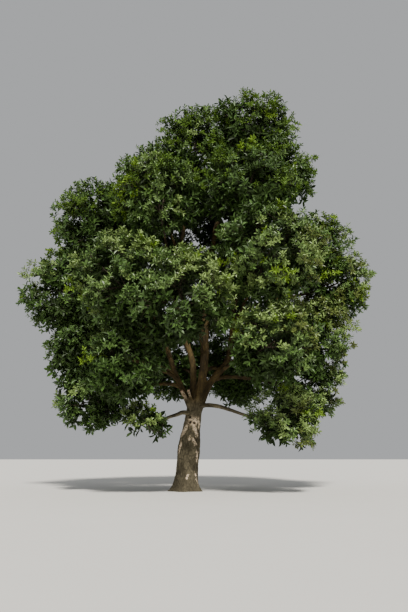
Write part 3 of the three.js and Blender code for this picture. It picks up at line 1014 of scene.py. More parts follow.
# The stubs of two small limbs that were sawn off at the fork: foot, end and radius of each.
STUBS = [
    ((0.2, -0.16, 3.78), (-0.22, -0.6, 4.5), 0.09),
    ((0.3, -0.14, 3.96), (0.09, -0.56, 4.55), 0.08),
]
STUB_RINGS = 8
STUB_SIDES = 16
STUB_FLARE = 0.5
STUB_FLARE_FALL = 4

# The bark of a stub is worn towards its end, and the sawn end stands a little way out of it.
STUB_NEAR = 1.5
STUB_WORN_RISE = 1.4
STUB_WORN_FROM = 0.6
STUB_WORN_MOST = 0.5
SAWN_SIDES = 18
SAWN_DEPTH = 0.03
SAWN_EDGE = 0.4
SAWN_RADII = 0.82 * np.array([1, 1, 0.7])

# The burr on the front of the trunk, and the three knot holes in it.
FRONT_BEFORE_Y = -0.05
BURR_HEIGHT = 3.13
BURR_X = 0.27
BURR_RADIUS = 0.2
BURR_RISE = 0.09
BURR_LUMP = 0.02
BURR_LUMP_PITCH = 0.07
BURR_SMOOTHNESS = 0.7
# How pale the burr is painted, as painted sunlight on it.
BURR_SUNLIT = 0.8
KNOT_HOLES = [(0.17, 3.31, 0.055), (0.19, 3.08, 0.075), (0.36, 3.05, 0.06)]
KNOT_DEPTH = 0.1
KNOT_STEEPNESS = 4
# How dark the knot holes are painted, as painted shade inside them.
KNOT_SHADE = 1.6
KNOT_RIM = 0.02
KNOT_RIM_AT = 1.7

# Painted sunlight: pale patches of sun on the front, where the bark's relief is also made smoother: middle,
# half width, half height, and how far each leans across for its height.
SUNLIT_PATCHES = [
    (0.32, 3.08, 0.19, 0.22, 0.0),
    (-0.07, 2.74, 0.1, 0.3, 0.45),
    (0.41, 2.74, 0.09, 0.32, -0.32),
    (0.15, 2.35, 0.06, 0.09, 0.0),
    (0.39, 2.18, 0.085, 0.18, -0.3),
    (0.57, 3.04, 0.05, 0.26, 0.0),
    (0.08, 0.66, 0.04, 0.13, 0.3),
    (0.43, 0.7, 0.015, 0.22, -0.25),
    (0.52, 0.42, 0.015, 0.2, -0.3),
    (-0.27, 1.95, 0.045, 0.3, 0.2),
    (0.5, 1.55, 0.035, 0.3, 0.0),
]
SUNLIT_WOBBLE = 0.05
SUNLIT_WOBBLE_PITCH = 0.16
SUNLIT_FINE_PITCH = 0.05
SUNLIT_REACH = 1.2
PALE_PATCH_EDGE = 2.2
PALE_PATCH_DEPTH = 0.008
PALE_PATCH_SMOOTHNESS = 0.8
PALE_PATCH_TOP = 3.9
PALE_PATCH_FADE = 0.5

# More pale patches, strewn round the sides and the back of the trunk.
STREWN_BEHIND_Y = -0.1
STREWN_PITCH = 0.5
STREWN_STRETCH = (1, 1, 0.55)
STREWN_ABOVE = 0.5
STREWN_STEEPNESS = 3

# Gentle hollows and ridges of the wood under the bark.
GNARL_DEPTH = 0.035
GNARL_OF_RADIUS = 0.12
GNARL_PITCH = 0.55
FLUTE_COUNT = 7
FLUTE_DEPTH = 0.016
FLUTE_LIFT = 0.012
FLUTE_FROM = 2.0
FLUTE_FADE = 1.2
FLUTE_TWIST = 1.4

# The pattern of the bark, in shares of the ridges' pitch and of the furrows' depth.
WARP_PITCH = 2.2
WARP_REACH = 0.6
FURROW_WIDTH = 0.16
FINE_FURROW_PITCH = 0.55
FINE_FURROW_WIDTH = 0.18
FINE_FURROW_DEPTH = 0.6
PLATE_PITCH = 0.8
PLATE_HEIGHT = 0.35
PLATE_STRETCH = (1, 1, 3)
SEED_SHIFT = 17.31
BARK_LIFT = 0.3
BARK_OF_RADIUS = 0.09
LIMB_SHIFT = 3.7

# The boughs' own skin.
BOUGH_TUBE_SIDES = 14
BOUGH_TUBE_SPACING = 0.09
BOUGH_FLARE = 0.5
BOUGH_FLARE_LENGTH = 0.16
BOUGH_FLARE_POWER = 1.5
BOUGH_WANDER = 0.05
BOUGH_WANDER_PITCH = 0.9
BOUGH_RIDGES_ALONG = 2
BOUGH_RIDGE_RISE = 0.06
BOUGH_FURROW_WIDTH = 0.2
BOUGH_FURROW_DEPTH = 0.16
BOUGH_SHIFT = 5.1

# Samples of the trunk and main limbs, for laying the bark. Each is a row: its place, the way that the limb
# heads, two ways square to that, how far along the limb it lies, the limb's radius there, and its number.
TRUNK_SAMPLES = 70
SAMPLE_SPACING = 0.08
SAMPLE_ANGLE = 0.3
FIRST_SIDE = (0, 1, 0.2)
NEAR_SAMPLES = 24
PLACE = slice(0, 3)
HEADING = slice(3, 6)
SIDE = slice(6, 9)
FRONT = slice(9, 12)
ALONG = 12
SIZE = 13
OWNER = 14


def sample_limbs(limbs):
    """Rows for places along the trunk and main limbs, with frames that turn smoothly."""
    heights = np.linspace(0, FORK_HEIGHT, TRUNK_SAMPLES)
    trunk_sizes = trunk_radius(heights, SAMPLE_ANGLE)

    def trunk_size(share):
        return np.interp(share, heights / FORK_HEIGHT, trunk_sizes)

    paths = [(Path(trunk_middle(heights)), trunk_size)]
    paths += [(limbs[name].path, limbs[name].radius) for name in MAIN_LIMBS]
    rows = []
    for owner, (path, radius) in enumerate(paths):
        share = np.linspace(0, 1, round(path.length / SAMPLE_SPACING))
        points = path.at(share)
        headings = unit(np.gradient(points, axis=0))
        normal = unit(np.cross(headings[0], FIRST_SIDE))
        for i, heading in enumerate(headings):
            normal = unit(normal - heading * (heading @ normal))
            binormal = np.cross(heading, normal)
            length = share[i] * path.length
            rows.append([*points[i], *heading, *normal, *binormal, length, float(radius(share[i])), owner])
    return np.array(rows)


class BarkFrame:
    """For each point of the wood: its place round and along the limb that it belongs to."""

    def __init__(self, points, samples):
        tree = KDTree(len(samples))
        for i, row in enumerate(samples):
            tree.insert(Vector(row[PLACE]), i)
        tree.balance()
        hits = [tree.find_n(Vector(point), NEAR_SAMPLES) for point in points]
        near = samples[np.array([[index for _, index, _ in nearest] for nearest in hits])]
        offset = points[:, None] - near[:, :, PLACE]
        gap = np.linalg.norm(offset, axis=2) - near[:, :, SIZE]
        best = np.argmin(gap, axis=1)
        rows = np.arange(len(points))
        row = near[rows, best]
        offset = offset[rows, best]
        self.owner = row[:, OWNER]
        self.size = row[:, SIZE]
        other = np.where(near[:, :, OWNER] == self.owner[:, None], np.inf, gap)
        self.lead = np.minimum(other.min(axis=1) - gap[rows, best], 1.0)
        self.along = row[:, ALONG] + np.sum(offset * row[:, HEADING], axis=1)
        self.side = np.sum(offset * row[:, SIDE], axis=1)
        self.front = np.sum(offset * row[:, FRONT], axis=1)


def noise_at(points, pitch, seed):
    """Smooth noise from -1 to 1 at many points, with features about one pitch across."""
    shifted = points / pitch + seed * SEED_SHIFT
    return np.array([noise.noise(Vector(point)) for point in shifted])


def bark_height(frame, sizes):
    """How far the bark stands out at each point, and how deep in a furrow the point is."""
    places = np.column_stack([frame.side, frame.front, frame.along / sizes.ridge_stretch])
    places = places + frame.owner[:, None] * LIMB_SHIFT
    warp = noise_at(places, sizes.ridge_pitch * WARP_PITCH, seed=3) * sizes.ridge_pitch * WARP_REACH
    places[:, 0] += warp
    places[:, 1] -= warp
    coarse = np.abs(noise_at(places, sizes.ridge_pitch, seed=1))
    fine = np.abs(noise_at(places, sizes.ridge_pitch * FINE_FURROW_PITCH, seed=2))
    fine_furrow = FINE_FURROW_DEPTH * bump_of(fine, FINE_FURROW_WIDTH)
    furrow = np.maximum(bump_of(coarse, FURROW_WIDTH), fine_furrow)
    plate = PLATE_HEIGHT * noise_at(places * PLATE_STRETCH, sizes.ridge_pitch * PLATE_PITCH, seed=5)
    depth = np.minimum(sizes.bark_depth, frame.size * BARK_OF_RADIUS)
    return depth * (plate - furrow + BARK_LIFT), furrow


def trunk_tube():
    """The trunk as a closed tube, a little below the ground, where it is cut off later."""
    share = np.linspace(0, TRUNK_TUBE_TOP, TRUNK_TUBE_RINGS) ** TRUNK_RING_POWER
    heights = np.concatenate([[-BELOW_GROUND], share * FORK_HEIGHT])
    angles = 2 * math.pi * np.arange(TRUNK_TUBE_SIDES) / TRUNK_TUBE_SIDES
    radius = trunk_radius(heights[:, None], angles[None, :])
    turns = FLUTE_COUNT * angles[None, :] + FLUTE_TWIST * heights[:, None]
    flutes = FLUTE_DEPTH * np.cos(turns) + FLUTE_LIFT
    radius = radius + flutes * np.clip((heights[:, None] - FLUTE_FROM) / FLUTE_FADE, 0, 1)
    middle = trunk_middle(heights)
    vertices = middle[:, None] + np.stack(
        [radius * np.cos(angles), radius * np.sin(angles), np.zeros_like(radius)], axis=-1
    )
    return vertices.reshape(-1, 3), tube_faces(1, len(heights), TRUNK_TUBE_SIDES)


def limb_tube(limb):
    share = np.linspace(0, 1, round(limb.path.length / LIMB_TUBE_SPACING))
    return tubes(limb.path.at(share)[None], limb.radius(share)[None], LIMB_TUBE_SIDES)


def stub_tube(foot, end, radius):
    share = np.linspace(0, 1, STUB_RINGS)
    points = lerp(np.array(foot), np.array(end), share[:, None])
    swell = 1 + STUB_FLARE * np.exp(-share * STUB_FLARE_FALL)
    return tubes(points[None], (radius * swell)[None], STUB_SIDES)


def remeshed(vertices, faces):
    """One even skin round all the tubes."""
    mesh = mesh_of("wood", vertices, faces)
    piece = bpy.data.objects.new("wood", mesh)
    bpy.context.collection.objects.link(piece)
    remesh = piece.modifiers.new("skin", "REMESH")
    remesh.mode = "VOXEL"
    remesh.voxel_size = VOXEL
    skin = bpy.data.meshes.new_from_object(piece.evaluated_get(bpy.context.evaluated_depsgraph_get()))
    bpy.data.objects.remove(piece)
    bpy.data.meshes.remove(mesh)
    return skin


def rows_of(items, name, width, kind=float):
    """What every item of a mesh holds under a name, as rows."""
    values = np.empty(len(items) * width, kind)
    items.foreach_get(name, values)
    return values.reshape(-1, width)


def set_points(mesh, points):
    mesh.vertices.foreach_set("co", np.ascontiguousarray(points, np.float32).ravel())
    mesh.update()


def pulled_together(points, edges, amounts):
    """Each point moved towards the mean of its neighbours by its amount."""
    total = np.zeros_like(points)
    count = np.zeros(len(points))
    for one, other in ((0, 1), (1, 0)):
        for axis in range(3):
            total[:, axis] += np.bincount(edges[:, one], points[edges[:, other], axis], len(points))
        count += np.bincount(edges[:, one], minlength=len(points))
    mean = total / np.maximum(count, 1)[:, None]
    return points + (mean - points) * amounts


def smooth_wood(mesh, samples):
    """Evens out the skin without thinning it, and fills the crotches where limbs part."""
    edges = rows_of(mesh.edges, "vertices", 2, int)
    points = rows_of(mesh.vertices, "co", 3)
    for _ in range(SMOOTH_ROUNDS):
        points = pulled_together(points, edges, SMOOTH_IN)
        points = pulled_together(points, edges, SMOOTH_OUT)
    lead = BarkFrame(points, samples).lead
    amounts = JUNCTION_PULL * bump_of(lead, JUNCTION_REACH)[:, None]
    for _ in range(JUNCTION_ROUNDS):
        points = pulled_together(points, edges, amounts)
    set_points(mesh, points)


def reshape(mesh, change):
    """Changes the faces of a mesh, and splits those that have more than four sides."""
    form = bmesh.new()
    form.from_mesh(mesh)
    change(form)
    bmesh.ops.triangulate(form, faces=[face for face in form.faces if len(face.verts) > 4])
    form.to_mesh(mesh)
    form.free()
    mesh.update()


def refine_low_down(form):
    """The bark low down is seen close, so its faces are made smaller."""
    low = [edge for edge in form.edges if all(vert.co.z < FINE_BARK_BELOW for vert in edge.verts)]
    bmesh.ops.subdivide_edges(form, edges=low, cuts=1, use_grid_fill=True)


def cut_at_ground(form):
    """The flat cut at ground level, under the trunk."""
    parts = form.verts[:] + form.edges[:] + form.faces[:]
    cut = bmesh.ops.bisect_plane(form, geom=parts, plane_co=(0, 0, 0), plane_no=(0, 0, 1), clear_inner=True)
    rim = [part for part in cut["geom_cut"] if isinstance(part, bmesh.types.BMEdge)]
    bmesh.ops.edgeloop_fill(form, edges=rim)


def raise_bark(mesh, samples, sizes):
    """Moves the skin into hollows, burr, knot holes and bark, and keeps what the colours need: the furrows
    and knot holes for painted shade, and the pale patches and burr for painted sunlight and the stubs'
    wear.
    """
    points = rows_of(mesh.vertices, "co", 3)
    normals = rows_of(mesh.vertices, "normal", 3)
    frame = BarkFrame(points, samples)
    height, furrow = bark_height(frame, sizes)
    gnarl = noise_at(points, GNARL_PITCH, seed=9) * np.minimum(GNARL_DEPTH, frame.size * GNARL_OF_RADIUS)
    front = points[:, 1] < FRONT_BEFORE_Y
    burr = front * bump_of(seen_apart(points, BURR_X, BURR_HEIGHT), BURR_RADIUS)
    lumps = burr * (BURR_RISE + BURR_LUMP * noise_at(points, BURR_LUMP_PITCH, seed=11))
    height = height * (1 - BURR_SMOOTHNESS * burr)
    # Painted sunlight and stub wear; the relief is made smoother there.
    worn = pale_patches(points)
    height = lerp(height, -PALE_PATCH_DEPTH, PALE_PATCH_SMOOTHNESS * worn)
    furrow = furrow * (1 - PALE_PATCH_SMOOTHNESS * worn) * (1 - burr)
    # Knot holes, painted dark inside as painted shade.
    for x, z, radius in KNOT_HOLES:
        to_hole = seen_apart(points, x, z)
        hole = front * bump_of(to_hole, radius, KNOT_STEEPNESS)
        rim = front * bump_of(to_hole - KNOT_RIM_AT * radius, radius)
        height = height - KNOT_DEPTH * hole + KNOT_RIM * rim
        furrow = np.maximum(furrow, KNOT_SHADE * hole)
    set_points(mesh, points + normals * (height + gnarl + lumps)[:, None])
    keep_attribute(mesh, "furrow", furrow)
    keep_attribute(mesh, "worn", np.maximum(worn, BURR_SUNLIT * burr))


def pale_patches(points):
    """How far each point lies inside a pale patch: painted sunlight on the front, pale patches strewn round
    the trunk, or wear on a stub.
    """
    wobble = SUNLIT_WOBBLE * noise_at(points, SUNLIT_WOBBLE_PITCH, seed=21)
    fine = SUNLIT_WOBBLE * noise_at(points, SUNLIT_FINE_PITCH, seed=23)
    strewn = noise_at(points * STREWN_STRETCH, STREWN_PITCH, seed=27) - STREWN_ABOVE
    worn = np.where(points[:, 1] > STREWN_BEHIND_Y, STREWN_STEEPNESS * strewn, 0)
    for x, z, half_width, half_height, lean in SUNLIT_PATCHES:
        up = points[:, 2] - z
        across = (points[:, 0] - x - lean * up + wobble + fine) / half_width
        along = (up + 2 * wobble) / half_height
        patch = SUNLIT_REACH - np.hypot(across, along)
        worn = np.maximum(worn, np.where(points[:, 1] < FRONT_BEFORE_Y, patch, 0))
    low = np.clip((PALE_PATCH_TOP - points[:, 2]) / PALE_PATCH_FADE, 0, 1)
    return np.maximum(np.clip(worn * PALE_PATCH_EDGE, 0, 1) * low, worn_stubs(points))


def worn_stubs(points):
    """How worn each point is by its place along a stub, and 0 away from the stubs."""
    worn = np.zeros(len(points))
    for foot, end, radius in STUBS:
        way = np.array(end) - np.array(foot)
        share = np.clip((points - foot) @ way / (way @ way), 0, 1)
        away = np.linalg.norm(points - foot - share[:, None] * way, axis=1)
        on_stub = np.clip(STUB_WORN_RISE * share - STUB_WORN_FROM, 0, STUB_WORN_MOST)
        worn = np.maximum(worn, np.where(away < STUB_NEAR * radius, on_stub, 0))
    return worn


def keep_attribute(mesh, name, values):
    mesh.attributes.new(name, "FLOAT", "POINT").data.foreach_set("value", values.astype(np.float32))


def bough_skin(limb, index, sizes):
    """A bough as a tube that flares where it leaves its limb, with bark ridges along it."""
    rings = round(limb.path.length / BOUGH_TUBE_SPACING)
    share = np.linspace(0, 1, rings)
    reach = share * limb.path.length
    flare = 1 + BOUGH_FLARE * bump_of(reach, BOUGH_FLARE_LENGTH, BOUGH_FLARE_POWER)
    radii = limb.radius(share) * flare
    line = np.column_stack([reach, np.zeros(rings), np.full(rings, index)])
    wander = np.column_stack([noise_at(line, BOUGH_WANDER_PITCH, seed) for seed in range(3)])
    points = limb.path.at(share) + wander * BOUGH_WANDER * np.sin(math.pi * share)[:, None]
    vertices, faces = tubes(points[None], radii[None], BOUGH_TUBE_SIDES)
    centre = np.repeat(points, BOUGH_TUBE_SIDES, axis=0)
    size = np.repeat(radii, BOUGH_TUBE_SIDES)
    places = (vertices - centre) / sizes.ridge_pitch
    places[:, 2] += np.repeat(reach, BOUGH_TUBE_SIDES) * BOUGH_RIDGES_ALONG
    ridge = np.abs(noise_at(places + index * BOUGH_SHIFT, 1.0, seed=4))
    furrow = bump_of(ridge, BOUGH_FURROW_WIDTH)
    height = size * (BOUGH_RIDGE_RISE - BOUGH_FURROW_DEPTH * furrow)
    return vertices + unit(vertices - centre) * height[:, None], faces, furrow


# Pieces and materials


def mesh_of(name, vertices, faces):
    """A mesh of triangles from arrays."""
    mesh = bpy.data.meshes.new(name)
    mesh.vertices.add(len(vertices))
    mesh.vertices.foreach_set("co", np.ascontiguousarray(vertices, np.float32).ravel())
    mesh.loops.add(faces.size)
    mesh.loops.foreach_set("vertex_index", np.ascontiguousarray(faces, np.int32).ravel())
    mesh.polygons.add(len(faces))
    mesh.polygons.foreach_set("loop_start", np.arange(0, faces.size, 3, dtype=np.int32))
    mesh.update(calc_edges=True)
    return mesh


def place_piece(name, mesh, material, nodes, smooth=False):
    """Puts a piece in the scene in place of the solid model's nodes."""
    mesh.name = name
    mesh.polygons.foreach_set("use_smooth", np.full(len(mesh.polygons), smooth))
    mesh.materials.clear()
    mesh.materials.append(material)
    piece = bpy.data.objects.new(name, mesh)
    bpy.context.collection.objects.link(piece)
    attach(piece, BODY)
    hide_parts(*nodes)


def node_names(start):
    return [name for name in frame["nodes"] if name.startswith(start)]


def scaled(colour, share):
    return [min(1.0, part * share) for part in colour]


SPECULAR = 0.4
BARK_SPECULAR = 0.2

# How strongly each layer of colour shows on the bark, and how much darker the foot and the heart wood are.
# The pale patches are painted sunlight, with real wear on the stubs; the darker foot and the dark of the
# furrows and knot holes are painted shade.
STAIN = 0.4
FOOT_SHADE = 0.75
SUNLIT_AND_WORN = 0.95
FURROW_SHADE = 0.6
FOOT_SHADE_DARKNESS = 0.7
HEART_DARKNESS = 0.6

# Leaves differ in how light they are, and have blotches. Those of the dull tones shine less.
LIGHTEST_LEAF = 1.55
DARKEST_LEAF = 0.6
BLOTCH = 0.35
SMOOTHEST_LEAF = -0.06
ROUGHEST_LEAF = 0.14
DULL_TONES = ("fresh", "crest", "inner", "shade")
DULL_SPECULAR = 0.15


class Shader:
    """A material's nodes, added one by one and joined by name."""

    def __init__(self, name, roughness, specular=SPECULAR):
        self.material = bpy.data.materials.new(name)
        self.material.use_nodes = True
        self.tree = self.material.node_tree
        self.surface = self.tree.nodes["Principled BSDF"]
        self.feed(self.surface, {"Roughness": roughness, "Specular IOR Level": specular})
        self.place = self.add("ShaderNodeTexCoord", {}).outputs["Object"]

    def feed(self, node, inputs):
        """Joins sockets to a node's inputs, and sets the inputs that are given plain values."""
        for name, value in inputs.items():
            if isinstance(value, bpy.types.NodeSocket):
                self.tree.links.new(value, node.inputs[name])
            else:
                node.inputs[name].default_value = value

    def add(self, kind, inputs, **settings):
        node = self.tree.nodes.new(kind)
        for name, value in settings.items():
            setattr(node, name, value)
        self.feed(node, inputs)
        return node

    def noise(self, scale, detail, stretch=(1, 1, 1)):
        """Noise over the object, with the place scaled by a share for each axis."""
        place = self.add("ShaderNodeMapping", {"Scale": stretch, "Vector": self.place}).outputs["Vector"]
        inputs = {"Scale": scale, "Detail": detail, "Vector": place}
        return self.add("ShaderNodeTexNoise", inputs).outputs["Fac"]

    def attribute(self, name):
        return self.add("ShaderNodeAttribute", {}, attribute_name=name).outputs["Fac"]

    def steps(self, source, low, high):
        """Turns the range from low to high into 0 to 1."""
        inputs = {"Value": source, "From Min": low, "From Max": high}
        return self.add("ShaderNodeMapRange", inputs, interpolation_type="SMOOTHSTEP").outputs["Result"]

    def times(self, first, second):
        return self.add("ShaderNodeMath", {0: first, 1: second}, operation="MULTIPLY").outputs["Value"]

    def mix(self, share, first, second):
        """A colour between two others, each a plain colour or a socket."""
        ends = [end if isinstance(end, bpy.types.NodeSocket) else (*end, 1) for end in (first, second)]
        node = self.add("ShaderNodeMix", {0: share, 6: ends[0], 7: ends[1]}, data_type="RGBA")
        return node.outputs[2]

    def colour(self, source):
        self.feed(self.surface, {"Base Color": source})

    def roughen(self, source, low, high):
        roughness = self.add("ShaderNodeMapRange", {"Value": source, "To Min": low, "To Max": high})
        self.feed(self.surface, {"Roughness": roughness.outputs["Result"]})

    def bump(self, height, strength, distance):
        bump = self.add("ShaderNodeBump", {"Strength": strength, "Distance": distance, "Height": height})
        self.feed(self.surface, {"Normal": bump.outputs["Normal"]})


def bark_material(colours):
    """Grey-olive oak bark: furrows darkened as painted shade, pale patches of painted sunlight and stub
    wear, a foot darkened as painted shade, and redder limbs above the fork, darker as painted shade.
    """
    shader = Shader("oak_bark", 0.9, BARK_SPECULAR)
    mottle = shader.steps(shader.noise(scale=2.6, detail=9, stretch=(1, 1, 0.5)), low=0.38, high=0.62)
    wood = shader.mix(mottle, colours.bark_dark, colours.bark_light)
    stain = shader.steps(shader.noise(scale=7, detail=6, stretch=(1, 1, 0.7)), low=0.45, high=0.62)
    wood = shader.mix(shader.times(stain, STAIN), wood, colours.bark_dark)
    height = shader.add("ShaderNodeSeparateXYZ", {"Vector": shader.place}).outputs["Z"]
    # Above the fork the limbs are redder, and darker as painted shade under the crown.
    on_limb = shader.steps(height, low=3.5, high=4.4)
    wood = shader.mix(on_limb, wood, shader.mix(mottle, colours.limb_dark, colours.limb_light))
    # Painted shade: the foot of the trunk is darker.
    shade_at_foot = shader.steps(height, low=1.4, high=0.1)
    wood = shader.mix(shader.times(shade_at_foot, FOOT_SHADE), wood, scaled(colours.bark_dark, FOOT_SHADE_DARKNESS))
    # Painted sunlight on the pale patches and burr; wear on the stubs.
    speckle = shader.steps(shader.noise(scale=16, detail=5), low=0.34, high=0.56)
    worn = shader.times(shader.attribute("worn"), speckle)
    wood = shader.mix(shader.times(worn, SUNLIT_AND_WORN), wood, colours.bark_pale)
    # Painted shade at the bottoms of the furrows and in the knot holes.
    wood = shader.mix(shader.times(shader.attribute("furrow"), FURROW_SHADE), wood, colours.furrow)
    shader.colour(wood)
    grain = shader.noise(scale=46, detail=6, stretch=(1, 1, 0.4))
    shader.roughen(grain, low=0.78, high=0.98)
    shader.bump(grain, strength=0.55, distance=0.02)
    return shader.material


def cut_wood_material(colours):
    """Sawn end grain, tan with a darker heart."""
    shader = Shader("sawn_wood", 0.8)
    grain = shader.noise(scale=60, detail=4)
    shader.colour(shader.mix(grain, colours.cut_wood, scaled(colours.cut_wood, HEART_DARKNESS)))
    shader.bump(grain, strength=0.3, distance=0.004)
    return shader.material


def twig_material(colours):
    """Smooth young bark, with pale pores."""
    shader = Shader("twig_bark", 0.75)
    pores = shader.noise(scale=18, detail=6)
    shader.colour(shader.mix(pores, colours.twig_dark, colours.twig_light))
    shader.bump(pores, strength=0.4, distance=0.006)
    return shader.material


def leaf_material(tone, colour, colours):
    """A leaf's half-glossy skin: each leaf a little lighter or darker, with raised veins."""
    specular = DULL_SPECULAR if tone in DULL_TONES else SPECULAR
    roughness = colours.leaf_roughness
    shader = Shader("oak_leaf_" + tone, roughness, specular)
    tint = shader.attribute("tint")
    leaf = shader.mix(tint, scaled(colour, DARKEST_LEAF), scaled(colour, LIGHTEST_LEAF))
    blotch = shader.steps(shader.noise(scale=9, detail=4), low=0.4, high=0.75)
    shader.colour(shader.mix(shader.times(blotch, BLOTCH), leaf, colour))
    veins = shader.noise(scale=55, detail=3)
    shader.roughen(veins, low=roughness + SMOOTHEST_LEAF, high=roughness + ROUGHEST_LEAF)
    shader.bump(veins, strength=0.35, distance=0.01)
    return shader.material


# What a user can change


def colour_prop(name, description, default):
    return FloatVectorProperty(
        name=name, description=description, default=default, subtype="COLOR", size=3, min=0, max=1
    )


def length_prop(name, description, default, least=0.001):
    return FloatProperty(name=name, description=description, default=default, min=least, unit="LENGTH")


class OakBarkSizes(bpy.types.PropertyGroup):
    """Sizes of the bark's relief."""

    bark_depth: length_prop("Bark depth", "Depth of the furrows", 0.025, least=0)
    ridge_pitch: length_prop("Ridge pitch", "Distance between ridges", 0.095, least=0.02)
    ridge_stretch: FloatProperty(
        name="Ridge stretch", description="Length of a ridge over its width", default=2.6, min=1
    )
    stub_rise: length_prop("Sawn end rise", "How far a sawn end stands out", 0.012, least=0)


class OakTwigSizes(bpy.types.PropertyGroup):
    """Radii of the growth past the boughs."""

    stem_end: length_prop("Stem end", "Radius of a stem at its end", 0.035)
    branchlet: length_prop("Branchlet", "Radius of a branchlet's foot", 0.015)
    twiglet: length_prop("Twiglet", "Radius of a side twiglet's foot", 0.007)
    tip: length_prop("Tip", "Radius at the finest tips", 0.003)


class OakLeafSizes(bpy.types.PropertyGroup):
    """Sizes and number of the leaves."""

    length: length_prop("Length", "Length of a middling leaf", MIDDLING_LEAF, least=0.02)
    width: FloatProperty(name="Width", description="Width of a leaf over its length", default=0.36, min=0.1)
    count: IntProperty(name="Leaves", description="Leaves in each rosette", default=9, min=3, max=16)
    shaded_count: IntProperty(
        name="Leaves in shade", description="Leaves in each shaded rosette", default=5, min=3, max=16
    )


class OakColours(bpy.types.PropertyGroup):
    """Colours of the bark, twigs and leaves."""

    bark_dark: colour_prop("Bark, dark", "Darker bark of the trunk", (0.09, 0.077, 0.047))
    bark_light: colour_prop("Bark, light", "Lighter bark of the trunk", (0.2, 0.172, 0.11))
    # Pale patches of painted sunlight, and the stubs' wear.
    bark_pale: colour_prop("Bark, pale", "Worn pale patches", (0.9, 0.72, 0.52))
    # The limbs' bark: redder, and darker than the trunk's as painted shade under the crown.
    limb_dark: colour_prop("Limb, dark", "Darker bark of the limbs", (0.032, 0.022, 0.008))
    limb_light: colour_prop("Limb, light", "Lighter bark of the limbs", (0.098, 0.068, 0.024))
    # Painted shade at the bottom of the furrows.
    furrow: colour_prop("Furrow", "Bottom of the furrows", (0.014, 0.011, 0.008))
    cut_wood: colour_prop("Sawn wood", "Sawn ends of the stubs", (0.72, 0.5, 0.33))
    twig_dark: colour_prop("Twig, dark", "Darker young bark", (0.03, 0.022, 0.014))
    twig_light: colour_prop("Twig, light", "Lighter young bark", (0.08, 0.062, 0.038))
    # The leaf colours from inner to bright are painted shade and light, darkest inside the crown and
    # lightest out in the light; crest is in part painted sunlight through the leaves.
    leaf_inner: colour_prop("Leaf, inner", "Leaves inside the crown", (0.023, 0.041, 0.011))
    leaf_shade: colour_prop("Leaf, shade", "Leaves in the shade of others", (0.036, 0.07, 0.016))
    leaf_deep: colour_prop("Leaf, deep", "Deep green leaves", (0.046, 0.09, 0.02))
    leaf_middle: colour_prop("Leaf, middle", "Middle green leaves", (0.067, 0.123, 0.028))
    leaf_light: colour_prop("Leaf, light", "Lighter leaves", (0.103, 0.17, 0.045))
    leaf_bright: colour_prop("Leaf, bright", "Leaves out in the sun", (0.162, 0.236, 0.068))
    leaf_fresh: colour_prop("Leaf, fresh", "Young yellow-green leaves", (0.12, 0.2, 0.02))
    leaf_crest: colour_prop("Leaf, crest", "Warm green leaves high in the crown", (0.077, 0.138, 0.02))
    leaf_olive: colour_prop("Leaf, olive", "Olive leaves on the right side", (0.095, 0.125, 0.027))
    leaf_roughness: FloatProperty(
        name="Leaf roughness", description="Roughness of a leaf's skin", default=0.38, min=0, max=1
    )


class OakStage(bpy.types.PropertyGroup):
    """The floor, the light and the view of the front."""

    floor_size: length_prop("Floor size", "Side of the floor", 400, least=10)
    floor_colour: colour_prop("Floor", "Colour of the floor", (0.66, 0.65, 0.62))
    sky_colour: colour_prop("Surroundings", "Colour of the soft light from all round", (0.88, 0.9, 0.92))
    sky_strength: FloatProperty(
        name="Surroundings strength", description="Strength of the soft light", default=0.5, min=0
    )
    key_strength: FloatProperty(name="Key light", description="Its strength", default=6.2, min=0)
    key_angle: FloatProperty(
        name="Key softness", description="Its width in the sky", default=math.radians(9), subtype="ANGLE"
    )
    lens: FloatProperty(name="Lens", description="Focal length in millimetres", default=35.0, min=10)


GROUPS = {
    "oak_bark_sizes": OakBarkSizes,
    "oak_twig_sizes": OakTwigSizes,
    "oak_leaf_sizes": OakLeafSizes,
    "oak_colours": OakColours,
    "oak_stage": OakStage,
}


# Operators


class OAK_OT_trunk(bpy.types.Operator):
    """Trunk and main limbs in one skin of furrowed bark"""

    bl_idname = "oak.trunk"
    bl_label = "Trunk and Limbs"

    def execute(self, context):
        limbs = make_limbs(make_masses())
        samples = sample_limbs(limbs)
        parts = [trunk_tube()]
        parts += [limb_tube(limbs[name]) for name in MAIN_LIMBS]
        parts += [stub_tube(*stub) for stub in STUBS]
        skin = remeshed(*joined(parts))
        smooth_wood(skin, samples)
        reshape(skin, refine_low_down)
        raise_bark(skin, samples, context.scene.oak_bark_sizes)
        reshape(skin, cut_at_ground)
        material = bark_material(context.scene.oak_colours)
        place_piece("bark_trunk_and_limbs", skin, material, ["trunk", *MAIN_LIMBS], smooth=True)
        return {"FINISHED"}


class OAK_OT_stub_ends(bpy.types.Operator):
    """Sawn ends of the two cut stubs at the fork"""

    bl_idname = "oak.stub_ends"
    bl_label = "Sawn Stub Ends"

    def execute(self, context):
        rise = context.scene.oak_bark_sizes.stub_rise
        parts = []
        for foot, end, radius in STUBS:
            way = unit(np.array(end) - np.array(foot))
            places = np.array(end) + way * np.array([[-SAWN_DEPTH], [SAWN_EDGE * rise], [rise]])
            parts.append(tubes(places[None], (radius * SAWN_RADII)[None], SAWN_SIDES))
        mesh = mesh_of("sawn", *joined(parts))
        material = cut_wood_material(context.scene.oak_colours)
        place_piece("sawn_stub_ends", mesh, material, ["limb_left"])
        return {"FINISHED"}


